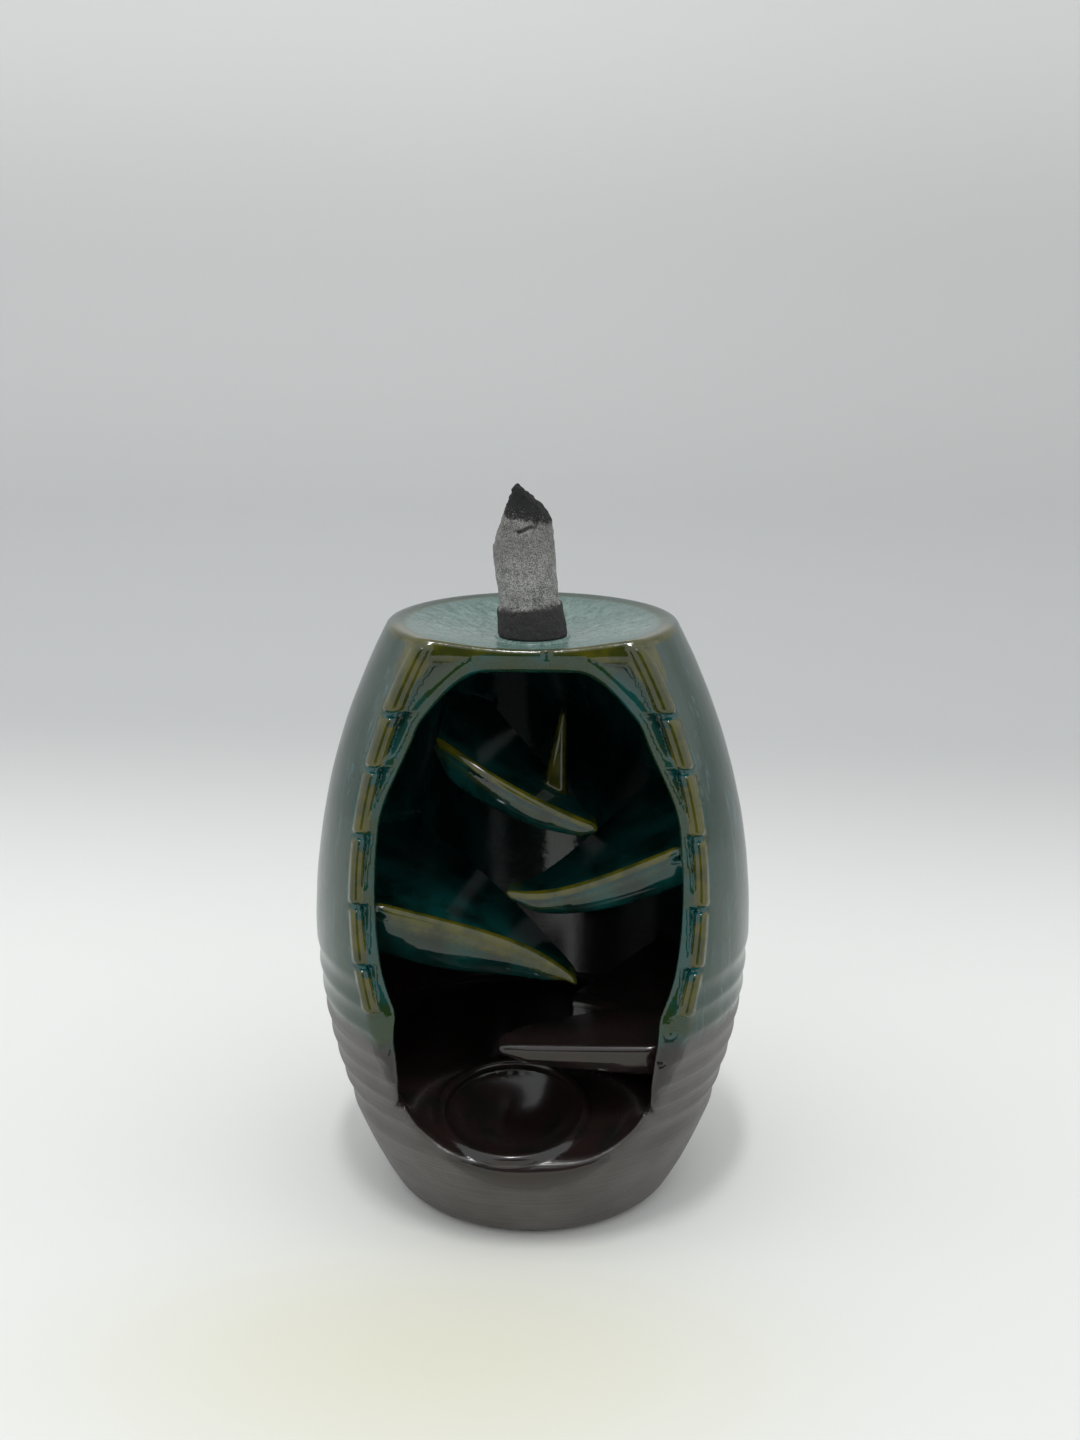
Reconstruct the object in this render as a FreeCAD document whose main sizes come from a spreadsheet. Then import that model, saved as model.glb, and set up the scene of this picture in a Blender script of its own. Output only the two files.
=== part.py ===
"""Backflow incense burner: a slip-cast, glazed stoneware barrel with an open front, and the cone on its dish.

Frame: millimetres, +Z up, the barrel's axis is the Z axis, the foot stands on z = 0 and the open front
faces -Y. All driving sizes stand in the sheet below; every sketch, loft and primitive is bound to them.
"""
import FreeCAD, Part
import math
import os

import Sketcher
from FreeCAD import Placement, Rotation, Vector

DIMENSIONS = [
    # The barrel, turned about Z
    ("height", 108.0, "foot to rim"),
    ("foot_radius", 25.5, "barrel radius at the foot"),
    ("belly_radius", 40.0, "largest barrel radius"),
    ("belly_height", 51.0, "height of the largest radius"),
    ("rim_radius", 25.4, "barrel radius at the rim"),
    ("foot_round", 2.2, "rounding of the foot's outer edge"),
    ("rim_round", 0.6, "rounding of the rim's two edges"),
    ("wall", 4.0, "thickness of the side wall"),
    # The dish on top, with the seat of the cone and the smoke hole
    ("dish_radius", 24.0, "radius of the dish at the rim"),
    ("dish_depth", 4.0, "depth of the dish at its middle"),
    ("dish_wall", 4.0, "thickness under the dish"),
    ("ceiling_round", 10.0, "rounding between ceiling and side wall"),
    ("seat_radius", 6.6, "radius of the raised seat ring"),
    ("seat_height", 0.8, "height of the seat ring above the dish"),
    ("smoke_hole_radius", 2.75, "radius of the smoke hole"),
    # The floor, the pond and the foot
    ("floor_height", 24.0, "height of the floor behind the pond"),
    ("pond_radius", 14.3, "radius of the pond at its lip"),
    ("pond_depth", 7.0, "depth of the pond below its lip"),
    ("pond_side", 3.0, "distance of the pond's middle from the axis, to the left"),
    ("pond_forward", 19.0, "distance of the pond's middle from the axis, to the front"),
    ("pond_drop", 2.6, "how far the pond's middle, at its lip, lies below the floor"),
    ("pond_tilt", 12.6, "slope of the pond's lip towards the front, degrees"),
    ("pond_lip", 3.0, "mean width of the flat lip round the pond"),
    ("pond_shift", 2.5, "how much further left the pond lies than the ramp round it"),
    ("ramp_width", 5.6, "width of the ramp that rises from the lip"),
    ("ramp_rise", 7.0, "how far the ramp rises"),
    ("ramp_reach", 9.0, "height above the lip up to which the ramp's cut is open"),
    ("scoop_reach", 24.5, "height above the lip up to which the side wall is cut back"),
    ("scoop_overlap", 0.5, "how far that cut reaches into the hollow"),
    ("recess_radius", 20.0, "radius of the recess under the foot"),
    ("recess_depth", 3.0, "depth of the recess under the foot"),
    ("recess_round", 1.2, "rounding of the recess"),
    # Throwing rings low on the barrel
    ("ring_start", 19.5, "height of the lowest throwing ring"),
    ("ring_pitch", 4.6, "distance between throwing rings"),
    ("ring_depth", 0.4, "depth of a throwing ring"),
    ("ring_curve", 5.5, "section radius of a throwing ring"),
    # The slanting front that opens the barrel
    ("front_low", 35.9, "distance of the front plane from the axis at z = 0"),
    ("front_high", 17.5, "the same at the rim"),
    ("relief_depth", 1.2, "how far the front is sunk between the stalks and the window's lip"),
    ("relief_edge", 1.0, "width of the barrel's own edge outside the sunk front"),
    ("relief_foot_gap", 2.0, "lower end of the sunk front, above the stalks' feet"),
    ("relief_top_gap", 4.8, "height of the lintel left under the rim"),
    ("lip_width", 1.6, "width of the raised lip round the window"),
    ("lip_round", 11.6, "rounding of that lip's upper corners"),
    # The two bamboo stalks along the opening
    ("stalk_radius", 1.7, "radius of a stalk"),
    ("stalk_taper", 0.2, "how much thinner a joint's upper end is"),
    ("stalk_edge", 0.3, "what is left of the front between a stalk and the front's edge"),
    ("stalk_sink", 0.5, "depth of a stalk's middle behind the front plane"),
    ("stalk_gap", 0.9, "gap between two joints of a stalk"),
    ("stalk_top_gap", 2.6, "distance of a stalk's top from the rim"),
    ("stalk_joint_top", 10.1, "how far the highest joint reaches down"),
    ("stalk_joint_high", 9.3, "the same for the next joint"),
    ("stalk_joint_upper", 11.2, "the same for the next joint"),
    ("stalk_joint_lower", 12.0, "the same for the next joint"),
    ("stalk_joint_low", 10.4, "the same for the next joint"),
    ("stalk_joint_foot", 8.4, "the same for the lowest joint"),
    # The four pouring ledges, named by where they stand
    ("lip_radius", 1.15, "radius of a ledge's rounded lip"),
    ("tray_dip", 1.3, "depth of a ledge's tray below its lip"),
    ("tray_rise", 3.0, "how far a tray rises towards the back"),
    ("tip_width", 5.0, "width of a ledge at its spout"),
    ("ledge_bite", 1.5, "how far a ledge runs into the wall"),
    ("top_ledge_start_x", -18.0, "free left end of the top ledge"),
    ("top_ledge_start_y", -8.0, ""),
    ("top_ledge_drop", 19.0, "its lip's start below the rim"),
    ("top_ledge_tip_x", 12.5, "spout of the top ledge"),
    ("top_ledge_tip_y", -12.5, ""),
    ("top_ledge_fall", 16.0, "fall of the lip from end to spout"),
    ("top_ledge_droop", 0.0, "extra fall close to the spout"),
    ("top_ledge_bulge", 5.0, "how far the lip bows to the front"),
    ("top_ledge_root", 7.5, "height of the front face at its start"),
    ("top_ledge_nose", 2.2, "height of the front face at its spout"),
    ("top_ledge_belly", 1.5, "extra height of the face half way"),
    ("right_ledge_start_y", -25.0, ""),
    ("right_ledge_drop", 27.5, "its lip below the rim, carried out to the belly radius"),
    ("right_ledge_tip_x", -5.0, "spout of the right ledge"),
    ("right_ledge_tip_y", -14.0, ""),
    ("right_ledge_fall", 24.5, "fall of the lip from wall to spout"),
    ("right_ledge_droop", -5.8, "extra fall close to the spout"),
    ("right_ledge_bulge", 0.5, "how far the lip bows to the front"),
    ("right_ledge_root", 8.5, "height of the front face at its start"),
    ("right_ledge_nose", 2.0, "height of the front face at its spout"),
    ("right_ledge_belly", 2.5, "extra height of the face half way"),
    ("left_ledge_start_y", -24.6, ""),
    ("left_ledge_drop", 41.6, "its lip below the rim, carried out to the belly radius"),
    ("left_ledge_tip_x", 9.0, "spout of the left ledge"),
    ("left_ledge_tip_y", -17.0, ""),
    ("left_ledge_fall", 14.8, "fall of the lip from wall to spout"),
    ("left_ledge_droop", 6.2, "extra fall close to the spout"),
    ("left_ledge_bulge", 1.0, "how far the lip bows to the front"),
    ("left_ledge_root", 7.0, "height of the front face at its start"),
    ("left_ledge_nose", 2.2, "height of the front face at its spout"),
    ("left_ledge_belly", 6.5, "extra height of the face half way"),
    ("low_ledge_start_y", -26.5, ""),
    ("low_ledge_lift", 14.0, "its lip above the floor, carried out to the belly radius"),
    ("low_ledge_tip_x", -6.0, "spout of the low ledge"),
    ("low_ledge_tip_y", -22.0, ""),
    ("low_ledge_fall", 2.6, "fall of the lip from wall to spout"),
    ("low_ledge_droop", 0.0, "extra fall close to the spout"),
    ("low_ledge_bulge", 0.5, "how far the lip bows to the front"),
    ("low_ledge_root", 10.0, "height of the front face at its start"),
    ("low_ledge_nose", 3.2, "height of the front face at its spout"),
    ("low_ledge_belly", 0.5, "extra height of the face half way"),
    # The fin that stands on the top ledge beside the falling smoke
    ("fin_side", 3.8, "distance of the fin from the axis, to the right"),
    ("fin_front", 0.5, "front of the fin, before the axis"),
    ("fin_length", 7.0, "length of the fin, front to back"),
    ("fin_thickness", 4.6, "thickness at its foot"),
    ("fin_edge", 1.0, "thickness at its top"),
    ("fin_sink", 1.5, "how deep the fin's foot stands in the top ledge, below its lip"),
    ("fin_height", 15.5, "height of the fin"),
    # The incense cone
    ("cone_base_radius", 6.3, "radius at the base"),
    ("cone_collar_height", 5.2, "height of the unburnt collar"),
    ("cone_collar_radius", 5.9, "radius above the collar"),
    ("cone_shoulder_height", 19.2, "where the tip begins"),
    ("cone_shoulder_radius", 5.6, "radius there"),
    ("cone_length", 27.0, "length along its leaning axis"),
    ("cone_tip_radius", 1.0, "radius of the blunt tip"),
    ("cone_lean", 5.8, "lean to the left, degrees"),
    ("cone_hole_radius", 1.4, "radius of its blind smoke hole"),
    ("cone_hole_depth", 12.0, "depth of that hole"),
]

RING_COUNT = 7
# Stations along a ledge, from its start to its spout, and how full its section is at each
STATIONS = ((0.0, 1.0), (0.25, 1.0), (0.5, 1.0), (0.75, 1.0), (0.93, 0.9), (1.0, 0.5))
FREE_END_STATIONS = ((0.0, 0.55), (0.08, 0.9), (0.3, 1.0), (0.55, 1.0), (0.8, 1.0), (0.94, 0.9), (1.0, 0.5))
DROOP_POWER = 6
CLEAR = 30.0  # how far a cutting profile runs past what it cuts

doc = FreeCAD.newDocument("incense_burner")
sheet = doc.addObject("Spreadsheet::Sheet", "Dimensions")
for row, (alias, number, meaning) in enumerate(DIMENSIONS, start=1):
    sheet.set(f"A{row}", alias)
    sheet.set(f"B{row}", str(number))
    sheet.set(f"C{row}", meaning)
    sheet.setAlias(f"B{row}", alias)
doc.recompute()


def size(alias):
    """A driving size, read from the sheet."""
    return float(getattr(sheet, alias))


def cell(alias):
    """The same size as it is written in an expression."""
    return f"Dimensions.{alias}"


# Formulas of the barrel's outline, as expression text
LOWER_ARC = (
    f"((({cell('belly_height')})^2 + ({cell('belly_radius')} - {cell('foot_radius')})^2)"
    f" / (2 * ({cell('belly_radius')} - {cell('foot_radius')})))"
)
UPPER_ARC = (
    f"((({cell('height')} - {cell('belly_height')})^2 + ({cell('belly_radius')} - {cell('rim_radius')})^2)"
    f" / (2 * ({cell('belly_radius')} - {cell('rim_radius')})))"
)
DISH_ARC = f"((({cell('dish_radius')})^2 + ({cell('dish_depth')})^2) / (2 * {cell('dish_depth')}))"
DISH_CENTRE = f"({cell('height')} - {cell('dish_depth')} + {DISH_ARC})"
SEAT_LEVEL = f"({cell('height')} - {cell('dish_depth')} + {cell('seat_height')})"


def lower_arc():
    """Radius of the arc from foot to belly."""
    step = size("belly_radius") - size("foot_radius")
    return (size("belly_height") ** 2 + step**2) / (2 * step)


def upper_arc():
    """Radius of the arc from belly to rim."""
    step = size("belly_radius") - size("rim_radius")
    return ((size("height") - size("belly_height")) ** 2 + step**2) / (2 * step)


def dish_arc():
    """Radius of the dish's bowl."""
    return (size("dish_radius") ** 2 + size("dish_depth") ** 2) / (2 * size("dish_depth"))


def seat_level():
    """Height of the seat ring's flat top."""
    return size("height") - size("dish_depth") + size("seat_height")


def barrel_radius(z):
    """Outer radius of the barrel at a height."""
    arc = lower_arc() if z < size("belly_height") else upper_arc()
    return size("belly_radius") - arc + math.sqrt(arc**2 - (z - size("belly_height")) ** 2)


def front_y(z):
    """Where the slanting front plane lies at a height."""
    return -size("front_low") + (size("front_low") - size("front_high")) * z / size("height")


def origin_plane(body, role):
    """One of a body's own origin planes."""
    return next(item for item in body.Origin.OriginFeatures if item.Role == role)


def new_body(name):
    body = doc.addObject("PartDesign::Body", name)
    body.Label = name
    return body


def new_sketch(body, name, role):
    """A sketch on one of the body's origin planes."""
    sketch = body.newObject("Sketcher::SketchObject", name)
    sketch.AttachmentSupport = [(origin_plane(body, role), "")]
    sketch.MapMode = "FlatFace"
    return sketch


def bind(sketch, kind, element, point, value, expression):
    """Hold a point of the sketch at a distance from its origin along X or Y, taken from the sheet."""
    index = sketch.addConstraint(Sketcher.Constraint(kind, -1, 1, element, point, value))
    sketch.setExpression(f"Constraints[{index}]", expression)


def pin(sketch, element, point, across, up):
    """Hold a point in both directions; each is (value, expression)."""
    bind(sketch, "DistanceX", element, point, *across)
    bind(sketch, "DistanceY", element, point, *up)


def join(sketch, pairs):
    """Make pairs of end points coincide."""
    for first, first_point, second, second_point in pairs:
        sketch.addConstraint(Sketcher.Constraint("Coincident", first, first_point, second, second_point))


def arc_between(centre, start, end):
    """An arc from start to end, counter-clockwise about a centre."""
    radius = start.distanceToPoint(centre)
    first = math.atan2(start.y - centre.y, start.x - centre.x)
    last = math.atan2(end.y - centre.y, end.x - centre.x)
    if last < first:
        last += 2 * math.pi
    circle = Part.Circle(centre, Vector(0, 0, 1), radius)
    return Part.ArcOfCircle(circle, first, last)


def polygon(sketch, corners):
    """A closed polygon whose corners are ((x, expression), (y, expression))."""
    points = [Vector(across[0], up[0], 0) for across, up in corners]
    count = len(points)
    for index in range(count):
        sketch.addGeometry(Part.LineSegment(points[index], points[(index + 1) % count]), False)
    join(sketch, [(index, 2, (index + 1) % count, 1) for index in range(count)])
    for index, (across, up) in enumerate(corners):
        pin(sketch, index, 1, across, up)


def revolve(body, name, kind, sketch):
    """A full turn about the sketch's own vertical axis, added or cut."""
    feature = body.newObject(f"PartDesign::{kind}", name)
    feature.Profile = sketch
    feature.ReferenceAxis = (sketch, ["V_Axis"])
    feature.Angle = 360
    return feature


def edges_at(shape, test):
    """Names of the edges whose middle passes a test."""
    names = []
    for index, edge in enumerate(shape.Edges, start=1):
        first, last = edge.ParameterRange
        if test(edge, edge.valueAt((first + last) / 2)):
            names.append(f"Edge{index}")
    return names


def fillet(body, name, base, test, alias):
    """Round the edges that pass a test with a radius from the sheet."""
    doc.recompute()
    names = edges_at(base.Shape, test)
    if not names:
        raise RuntimeError(f"{name}: no edge to round")
    feature = body.newObject("PartDesign::Fillet", name)
    feature.Base = (base, names)
    feature.Radius = size(alias)
    feature.setExpression("Radius", cell(alias))
    doc.recompute()
    return feature


def barrel_sketch(body, name, inset, bottom, top):
    """Half section of the barrel from bottom to top, moved inwards by the inset.

    Every argument is (value, expression). The two arcs share the belly's height, so they meet smoothly.
    """
    sketch = new_sketch(body, name, "XZ_Plane")
    belly = size("belly_height")
    reach = size("belly_radius") - inset[0]
    low_radius = lower_arc() - inset[0]
    high_radius = upper_arc() - inset[0]
    low_centre = Vector(reach - low_radius, belly, 0)
    high_centre = Vector(reach - high_radius, belly, 0)
    low_x = low_centre.x + math.sqrt(low_radius**2 - (bottom[0] - belly) ** 2)
    high_x = high_centre.x + math.sqrt(high_radius**2 - (top[0] - belly) ** 2)
    corners = [Vector(0, bottom[0], 0), Vector(low_x, bottom[0], 0), Vector(reach, belly, 0),
               Vector(high_x, top[0], 0), Vector(0, top[0], 0)]
    sketch.addGeometry(Part.LineSegment(corners[0], corners[1]), False)
    sketch.addGeometry(arc_between(low_centre, corners[1], corners[2]), False)
    sketch.addGeometry(arc_between(high_centre, corners[2], corners[3]), False)
    sketch.addGeometry(Part.LineSegment(corners[3], corners[4]), False)
    sketch.addGeometry(Part.LineSegment(corners[4], corners[0]), False)
    join(sketch, [(0, 2, 1, 1), (1, 2, 2, 1), (2, 2, 3, 1), (3, 2, 4, 1), (4, 2, 0, 1)])
    sketch.addConstraint(Sketcher.Constraint("PointOnObject", 0, 1, -2))
    sketch.addConstraint(Sketcher.Constraint("Horizontal", 0))
    sketch.addConstraint(Sketcher.Constraint("Horizontal", 3))
    sketch.addConstraint(Sketcher.Constraint("Vertical", 4))
    bind(sketch, "DistanceY", 0, 1, bottom[0], bottom[1])
    bind(sketch, "DistanceY", 3, 2, top[0], top[1])
    pin(sketch, 1, 2, (reach, f"{cell('belly_radius')} - {inset[1]}"), (belly, cell("belly_height")))
    pin(sketch, 1, 3, (low_centre.x, f"{cell('belly_radius')} - {LOWER_ARC}"), (belly, cell("belly_height")))
    pin(sketch, 2, 3, (high_centre.x, f"{cell('belly_radius')} - {UPPER_ARC}"), (belly, cell("belly_height")))
    return sketch


def make_shell():
    """The turned barrel, still closed: dish, seat ring, smoke hole, hollow, throwing rings and foot."""
    body = new_body("barrel_shell")
    height = size("height")

    outline = barrel_sketch(body, "BarrelOutline", (0.0, "0"), (0.0, "0"), (height, cell("height")))
    revolve(body, "Barrel", "Revolution", outline)

    # The dish is a shallow bowl; its profile runs up past the rim
    dish = new_sketch(body, "DishOutline", "XZ_Plane")
    bowl_centre = Vector(0, height - size("dish_depth") + dish_arc(), 0)
    bowl_bottom = Vector(0, height - size("dish_depth"), 0)
    bowl_edge = Vector(size("dish_radius"), height, 0)
    above = height + CLEAR
    dish.addGeometry(arc_between(bowl_centre, bowl_bottom, bowl_edge), False)
    dish.addGeometry(Part.LineSegment(bowl_edge, Vector(bowl_edge.x, above, 0)), False)
    dish.addGeometry(Part.LineSegment(Vector(bowl_edge.x, above, 0), Vector(0, above, 0)), False)
    dish.addGeometry(Part.LineSegment(Vector(0, above, 0), bowl_bottom), False)
    join(dish, [(0, 2, 1, 1), (1, 2, 2, 1), (2, 2, 3, 1), (3, 2, 0, 1)])
    dish.addConstraint(Sketcher.Constraint("PointOnObject", 0, 3, -2))
    dish.addConstraint(Sketcher.Constraint("Vertical", 1))
    dish.addConstraint(Sketcher.Constraint("Horizontal", 2))
    dish.addConstraint(Sketcher.Constraint("Vertical", 3))
    dish.addConstraint(Sketcher.Constraint("PointOnObject", 3, 2, -2))
    bind(dish, "DistanceY", 3, 2, bowl_bottom.y, f"{cell('height')} - {cell('dish_depth')}")
    pin(dish, 0, 2, (bowl_edge.x, cell("dish_radius")), (height, cell("height")))
    bind(dish, "DistanceY", 2, 2, above, f"{cell('height')} + {CLEAR}")
    revolve(body, "Dish", "Groove", dish)

    # Seat ring for the cone
    seat = new_sketch(body, "SeatOutline", "XZ_Plane")
    ring = (size("seat_radius"), cell("seat_radius"))
    below = (height - size("dish_depth") - 1.0, f"{cell('height')} - {cell('dish_depth')} - 1")
    level = (seat_level(), SEAT_LEVEL)
    axis = (0.0, "0")
    polygon(seat, [(axis, below), (ring, below), (ring, level), (axis, level)])
    seat_ring = revolve(body, "SeatRing", "Revolution", seat)

    rounded = fillet(
        body, "RimRound", seat_ring,
        lambda edge, middle: abs(middle.z - size("height")) < 0.01 and math.hypot(middle.x, middle.y) > 1,
        "rim_round")
    rounded = fillet(
        body, "FootRound", rounded,
        lambda edge, middle: abs(middle.z) < 0.01 and math.hypot(middle.x, middle.y) > 1,
        "foot_round")

    # Throwing rings: shallow scallops round the lower barrel
    rings = new_sketch(body, "RingOutline", "XZ_Plane")
    for index in range(RING_COUNT):
        level_z = size("ring_start") + index * size("ring_pitch")
        place = barrel_radius(level_z) + size("ring_curve") - size("ring_depth")
        circle = Part.Circle(Vector(place, level_z, 0), Vector(0, 0, 1), size("ring_curve"))
        rings.addGeometry(circle, False)
        level_text = f"({cell('ring_start')} + {index} * {cell('ring_pitch')})"
        radius_text = (
            f"{cell('belly_radius')} - {LOWER_ARC}"
            f" + sqrt({LOWER_ARC}^2 - ({level_text} - {cell('belly_height')})^2)"
        )
        place_text = f"{radius_text} + {cell('ring_curve')} - {cell('ring_depth')}"
        pin(rings, index, 3, (place, place_text), (level_z, level_text))
        radius_index = rings.addConstraint(Sketcher.Constraint("Radius", index, size("ring_curve")))
        rings.setExpression(f"Constraints[{radius_index}]", cell("ring_curve"))

    # The hollow keeps the wall's thickness and follows the dish at its ceiling
    hollow = new_sketch(body, "HollowOutline", "XZ_Plane")
    inset = size("wall")
    belly = size("belly_height")
    floor = size("floor_height")
    reach = size("belly_radius") - inset
    low_radius = lower_arc() - inset
    high_radius = upper_arc() - inset
    low_centre = Vector(reach - low_radius, belly, 0)
    high_centre = Vector(reach - high_radius, belly, 0)
    ceiling_radius = dish_arc() + size("dish_wall")
    ceiling_centre = bowl_centre
    ceiling_middle = Vector(0, ceiling_centre.y - ceiling_radius, 0)
    low_corner = Vector(low_centre.x + math.sqrt(low_radius**2 - (floor - belly) ** 2), floor, 0)
    wall_circle = Part.Circle(high_centre, Vector(0, 0, 1), high_radius)
    ceiling_circle = Part.Circle(ceiling_centre, Vector(0, 0, 1), ceiling_radius)
    crossings = [Vector(p.X, p.Y, 0) for p in wall_circle.intersect(ceiling_circle)]
    high_corner = max((p for p in crossings if belly < p.y < height), key=lambda p: p.x)
    belly_point = Vector(reach, belly, 0)
    floor_middle = Vector(0, floor, 0)
    hollow.addGeometry(Part.LineSegment(floor_middle, low_corner), False)
    hollow.addGeometry(arc_between(low_centre, low_corner, belly_point), False)
    hollow.addGeometry(arc_between(high_centre, belly_point, high_corner), False)
    hollow.addGeometry(arc_between(ceiling_centre, ceiling_middle, high_corner), False)
    hollow.addGeometry(Part.LineSegment(ceiling_middle, floor_middle), False)
    join(hollow, [(0, 2, 1, 1), (1, 2, 2, 1), (2, 2, 3, 2), (3, 1, 4, 1), (4, 2, 0, 1)])
    hollow.addConstraint(Sketcher.Constraint("Horizontal", 0))
    hollow.addConstraint(Sketcher.Constraint("Vertical", 4))
    hollow.addConstraint(Sketcher.Constraint("PointOnObject", 0, 1, -2))
    hollow.addConstraint(Sketcher.Constraint("PointOnObject", 3, 3, -2))
    bind(hollow, "DistanceY", 0, 1, floor, cell("floor_height"))
    pin(hollow, 1, 2, (reach, f"{cell('belly_radius')} - {cell('wall')}"), (belly, cell("belly_height")))
    pin(hollow, 1, 3, (low_centre.x, f"{cell('belly_radius')} - {LOWER_ARC}"), (belly, cell("belly_height")))
    pin(hollow, 2, 3, (high_centre.x, f"{cell('belly_radius')} - {UPPER_ARC}"), (belly, cell("belly_height")))
    bind(hollow, "DistanceY", 3, 1, ceiling_middle.y,
         f"{cell('height')} - {cell('dish_depth')} - {cell('dish_wall')}")
    bind(hollow, "DistanceY", 3, 3, ceiling_centre.y, DISH_CENTRE)

    revolve(body, "ThrowingRings", "Groove", rings)
    hollow_cut = revolve(body, "Hollow", "Groove", hollow)
    fillet(
        body, "CeilingRound", hollow_cut,
        lambda edge, middle: abs(middle.z - high_corner.y) < 0.05
        and abs(math.hypot(middle.x, middle.y) - high_corner.x) < 0.05,
        "ceiling_round")

    # Smoke hole through the middle of the dish
    hole = new_sketch(body, "SmokeHoleOutline", "XY_Plane")
    hole.addGeometry(Part.Circle(Vector(0, 0, 0), Vector(0, 0, 1), size("smoke_hole_radius")), False)
    hole.addConstraint(Sketcher.Constraint("Coincident", 0, 3, -1, 1))
    hole_radius = hole.addConstraint(Sketcher.Constraint("Radius", 0, size("smoke_hole_radius")))
    hole.setExpression(f"Constraints[{hole_radius}]", cell("smoke_hole_radius"))
    hole.AttachmentOffset = Placement(Vector(0, 0, height), Rotation())
    hole.setExpression("AttachmentOffset.Base.z", cell("height"))
    smoke_hole = body.newObject("PartDesign::Pocket", "SmokeHole")
    smoke_hole.Profile = hole
    smoke_hole.Type = "Length"
    smoke_hole.Length = size("height") - size("floor_height") - CLEAR
    smoke_hole.setExpression("Length", f"{cell('height')} - {cell('floor_height')} - {CLEAR}")

    # Recess under the foot, which leaves a ring to stand on
    recess = new_sketch(body, "RecessOutline", "XY_Plane")
    recess.addGeometry(Part.Circle(Vector(0, 0, 0), Vector(0, 0, 1), size("recess_radius")), False)
    recess.addConstraint(Sketcher.Constraint("Coincident", 0, 3, -1, 1))
    recess_radius = recess.addConstraint(Sketcher.Constraint("Radius", 0, size("recess_radius")))
    recess.setExpression(f"Constraints[{recess_radius}]", cell("recess_radius"))
    recess_cut = body.newObject("PartDesign::Pocket", "FootRecess")
    recess_cut.Profile = recess
    recess_cut.Type = "Length"
    recess_cut.Reversed = True
    recess_cut.Length = size("recess_depth")
    recess_cut.setExpression("Length", cell("recess_depth"))
    rounded = fillet(
        body, "RecessRound", recess_cut,
        lambda edge, middle: abs(middle.z - size("recess_depth")) < 0.01
        and abs(math.hypot(middle.x, middle.y) - size("recess_radius")) < 0.01,
        "recess_round")
    body.Tip = rounded
    return body


def pond_sketch(body, name, shift):
    """A sketch in the leaning plane of the pond's axis, moved to the right by a shift (value, expression)."""
    sketch = new_sketch(body, name, "XZ_Plane")
    sketch.AttachmentOffset = Placement(
        Vector(shift[0] - size("pond_side"), size("floor_height") - size("pond_drop"), size("pond_forward")),
        Rotation(Vector(1, 0, 0), size("pond_tilt")))
    sketch.setExpression("AttachmentOffset.Base.x", f"{shift[1]} - {cell('pond_side')}")
    sketch.setExpression("AttachmentOffset.Base.y", f"{cell('floor_height')} - {cell('pond_drop')}")
    sketch.setExpression("AttachmentOffset.Base.z", cell("pond_forward"))
    sketch.setExpression("AttachmentOffset.Rotation.Angle", cell("pond_tilt"))
    return sketch


def make_pond_cutter():
    """The pond, the ramp round it and the scoop out of the side wall above, as one tool.

    Each is turned about its own axis; the axes lean to the front, so the pond's lip falls to the front.
    """
    pond_body = new_body("pond_bowl")
    pond = pond_sketch(pond_body, "PondOutline", (0.0, "0"))
    radius = size("pond_radius")
    depth = size("pond_depth")
    bowl_radius = (radius**2 + depth**2) / (2 * depth)
    rise = size("ramp_rise")
    corners = [Vector(0, -depth, 0), Vector(radius, 0, 0), Vector(radius, rise, 0), Vector(0, rise, 0)]
    pond.addGeometry(arc_between(Vector(0, bowl_radius - depth, 0), corners[0], corners[1]), False)
    for index in range(1, 4):
        pond.addGeometry(Part.LineSegment(corners[index], corners[(index + 1) % 4]), False)
    join(pond, [(index, 2, (index + 1) % 4, 1) for index in range(4)])
    pin(pond, 0, 1, (0.0, "0"), (-depth, f"-{cell('pond_depth')}"))
    pin(pond, 1, 1, (radius, cell("pond_radius")), (0.0, "0"))
    pin(pond, 2, 1, (radius, cell("pond_radius")), (rise, cell("ramp_rise")))
    pin(pond, 3, 1, (0.0, "0"), (rise, cell("ramp_rise")))
    pond.addConstraint(Sketcher.Constraint("PointOnObject", 0, 3, -2))
    revolve(pond_body, "Pond", "Revolution", pond)

    shift = (size("pond_shift"), cell("pond_shift"))
    axis = (0.0, "0")
    foot = (radius + size("pond_lip"), f"{cell('pond_radius')} + {cell('pond_lip')}")
    edge = (foot[0] + size("ramp_width"), f"{foot[1]} + {cell('ramp_width')}")
    level = (0.0, "0")
    risen = (rise, cell("ramp_rise"))
    reach = (size("ramp_reach"), cell("ramp_reach"))
    ramp_body = new_body("pond_ramp")
    ramp = pond_sketch(ramp_body, "RampOutline", shift)
    polygon(ramp, [(axis, level), (foot, level), (edge, risen), (edge, reach), (axis, reach)])
    revolve(ramp_body, "Ramp", "Revolution", ramp)

    scoop_body = new_body("scoop_turned")
    scoop = pond_sketch(scoop_body, "ScoopOutline", shift)
    top = (size("scoop_reach"), cell("scoop_reach"))
    polygon(scoop, [(axis, risen), (edge, risen), (edge, top), (axis, top)])
    revolve(scoop_body, "Scoop", "Revolution", scoop)
    core_body = new_body("scoop_core")
    inset = (size("wall") + size("scoop_overlap"), f"({cell('wall')} + {cell('scoop_overlap')})")
    bottom = (size("recess_depth"), cell("recess_depth"))
    head = (size("height") - size("dish_depth"), f"{cell('height')} - {cell('dish_depth')}")
    revolve(core_body, "ScoopCore", "Revolution", barrel_sketch(core_body, "ScoopCoreOutline", inset, bottom, head))
    wall_scoop = doc.addObject("Part::Cut", "wall_scoop")
    wall_scoop.Base = scoop_body
    wall_scoop.Tool = core_body

    cutter = doc.addObject("Part::MultiFuse", "pond_cutter")
    cutter.Shapes = [pond_body, ramp_body, wall_scoop]
    return cutter


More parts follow.
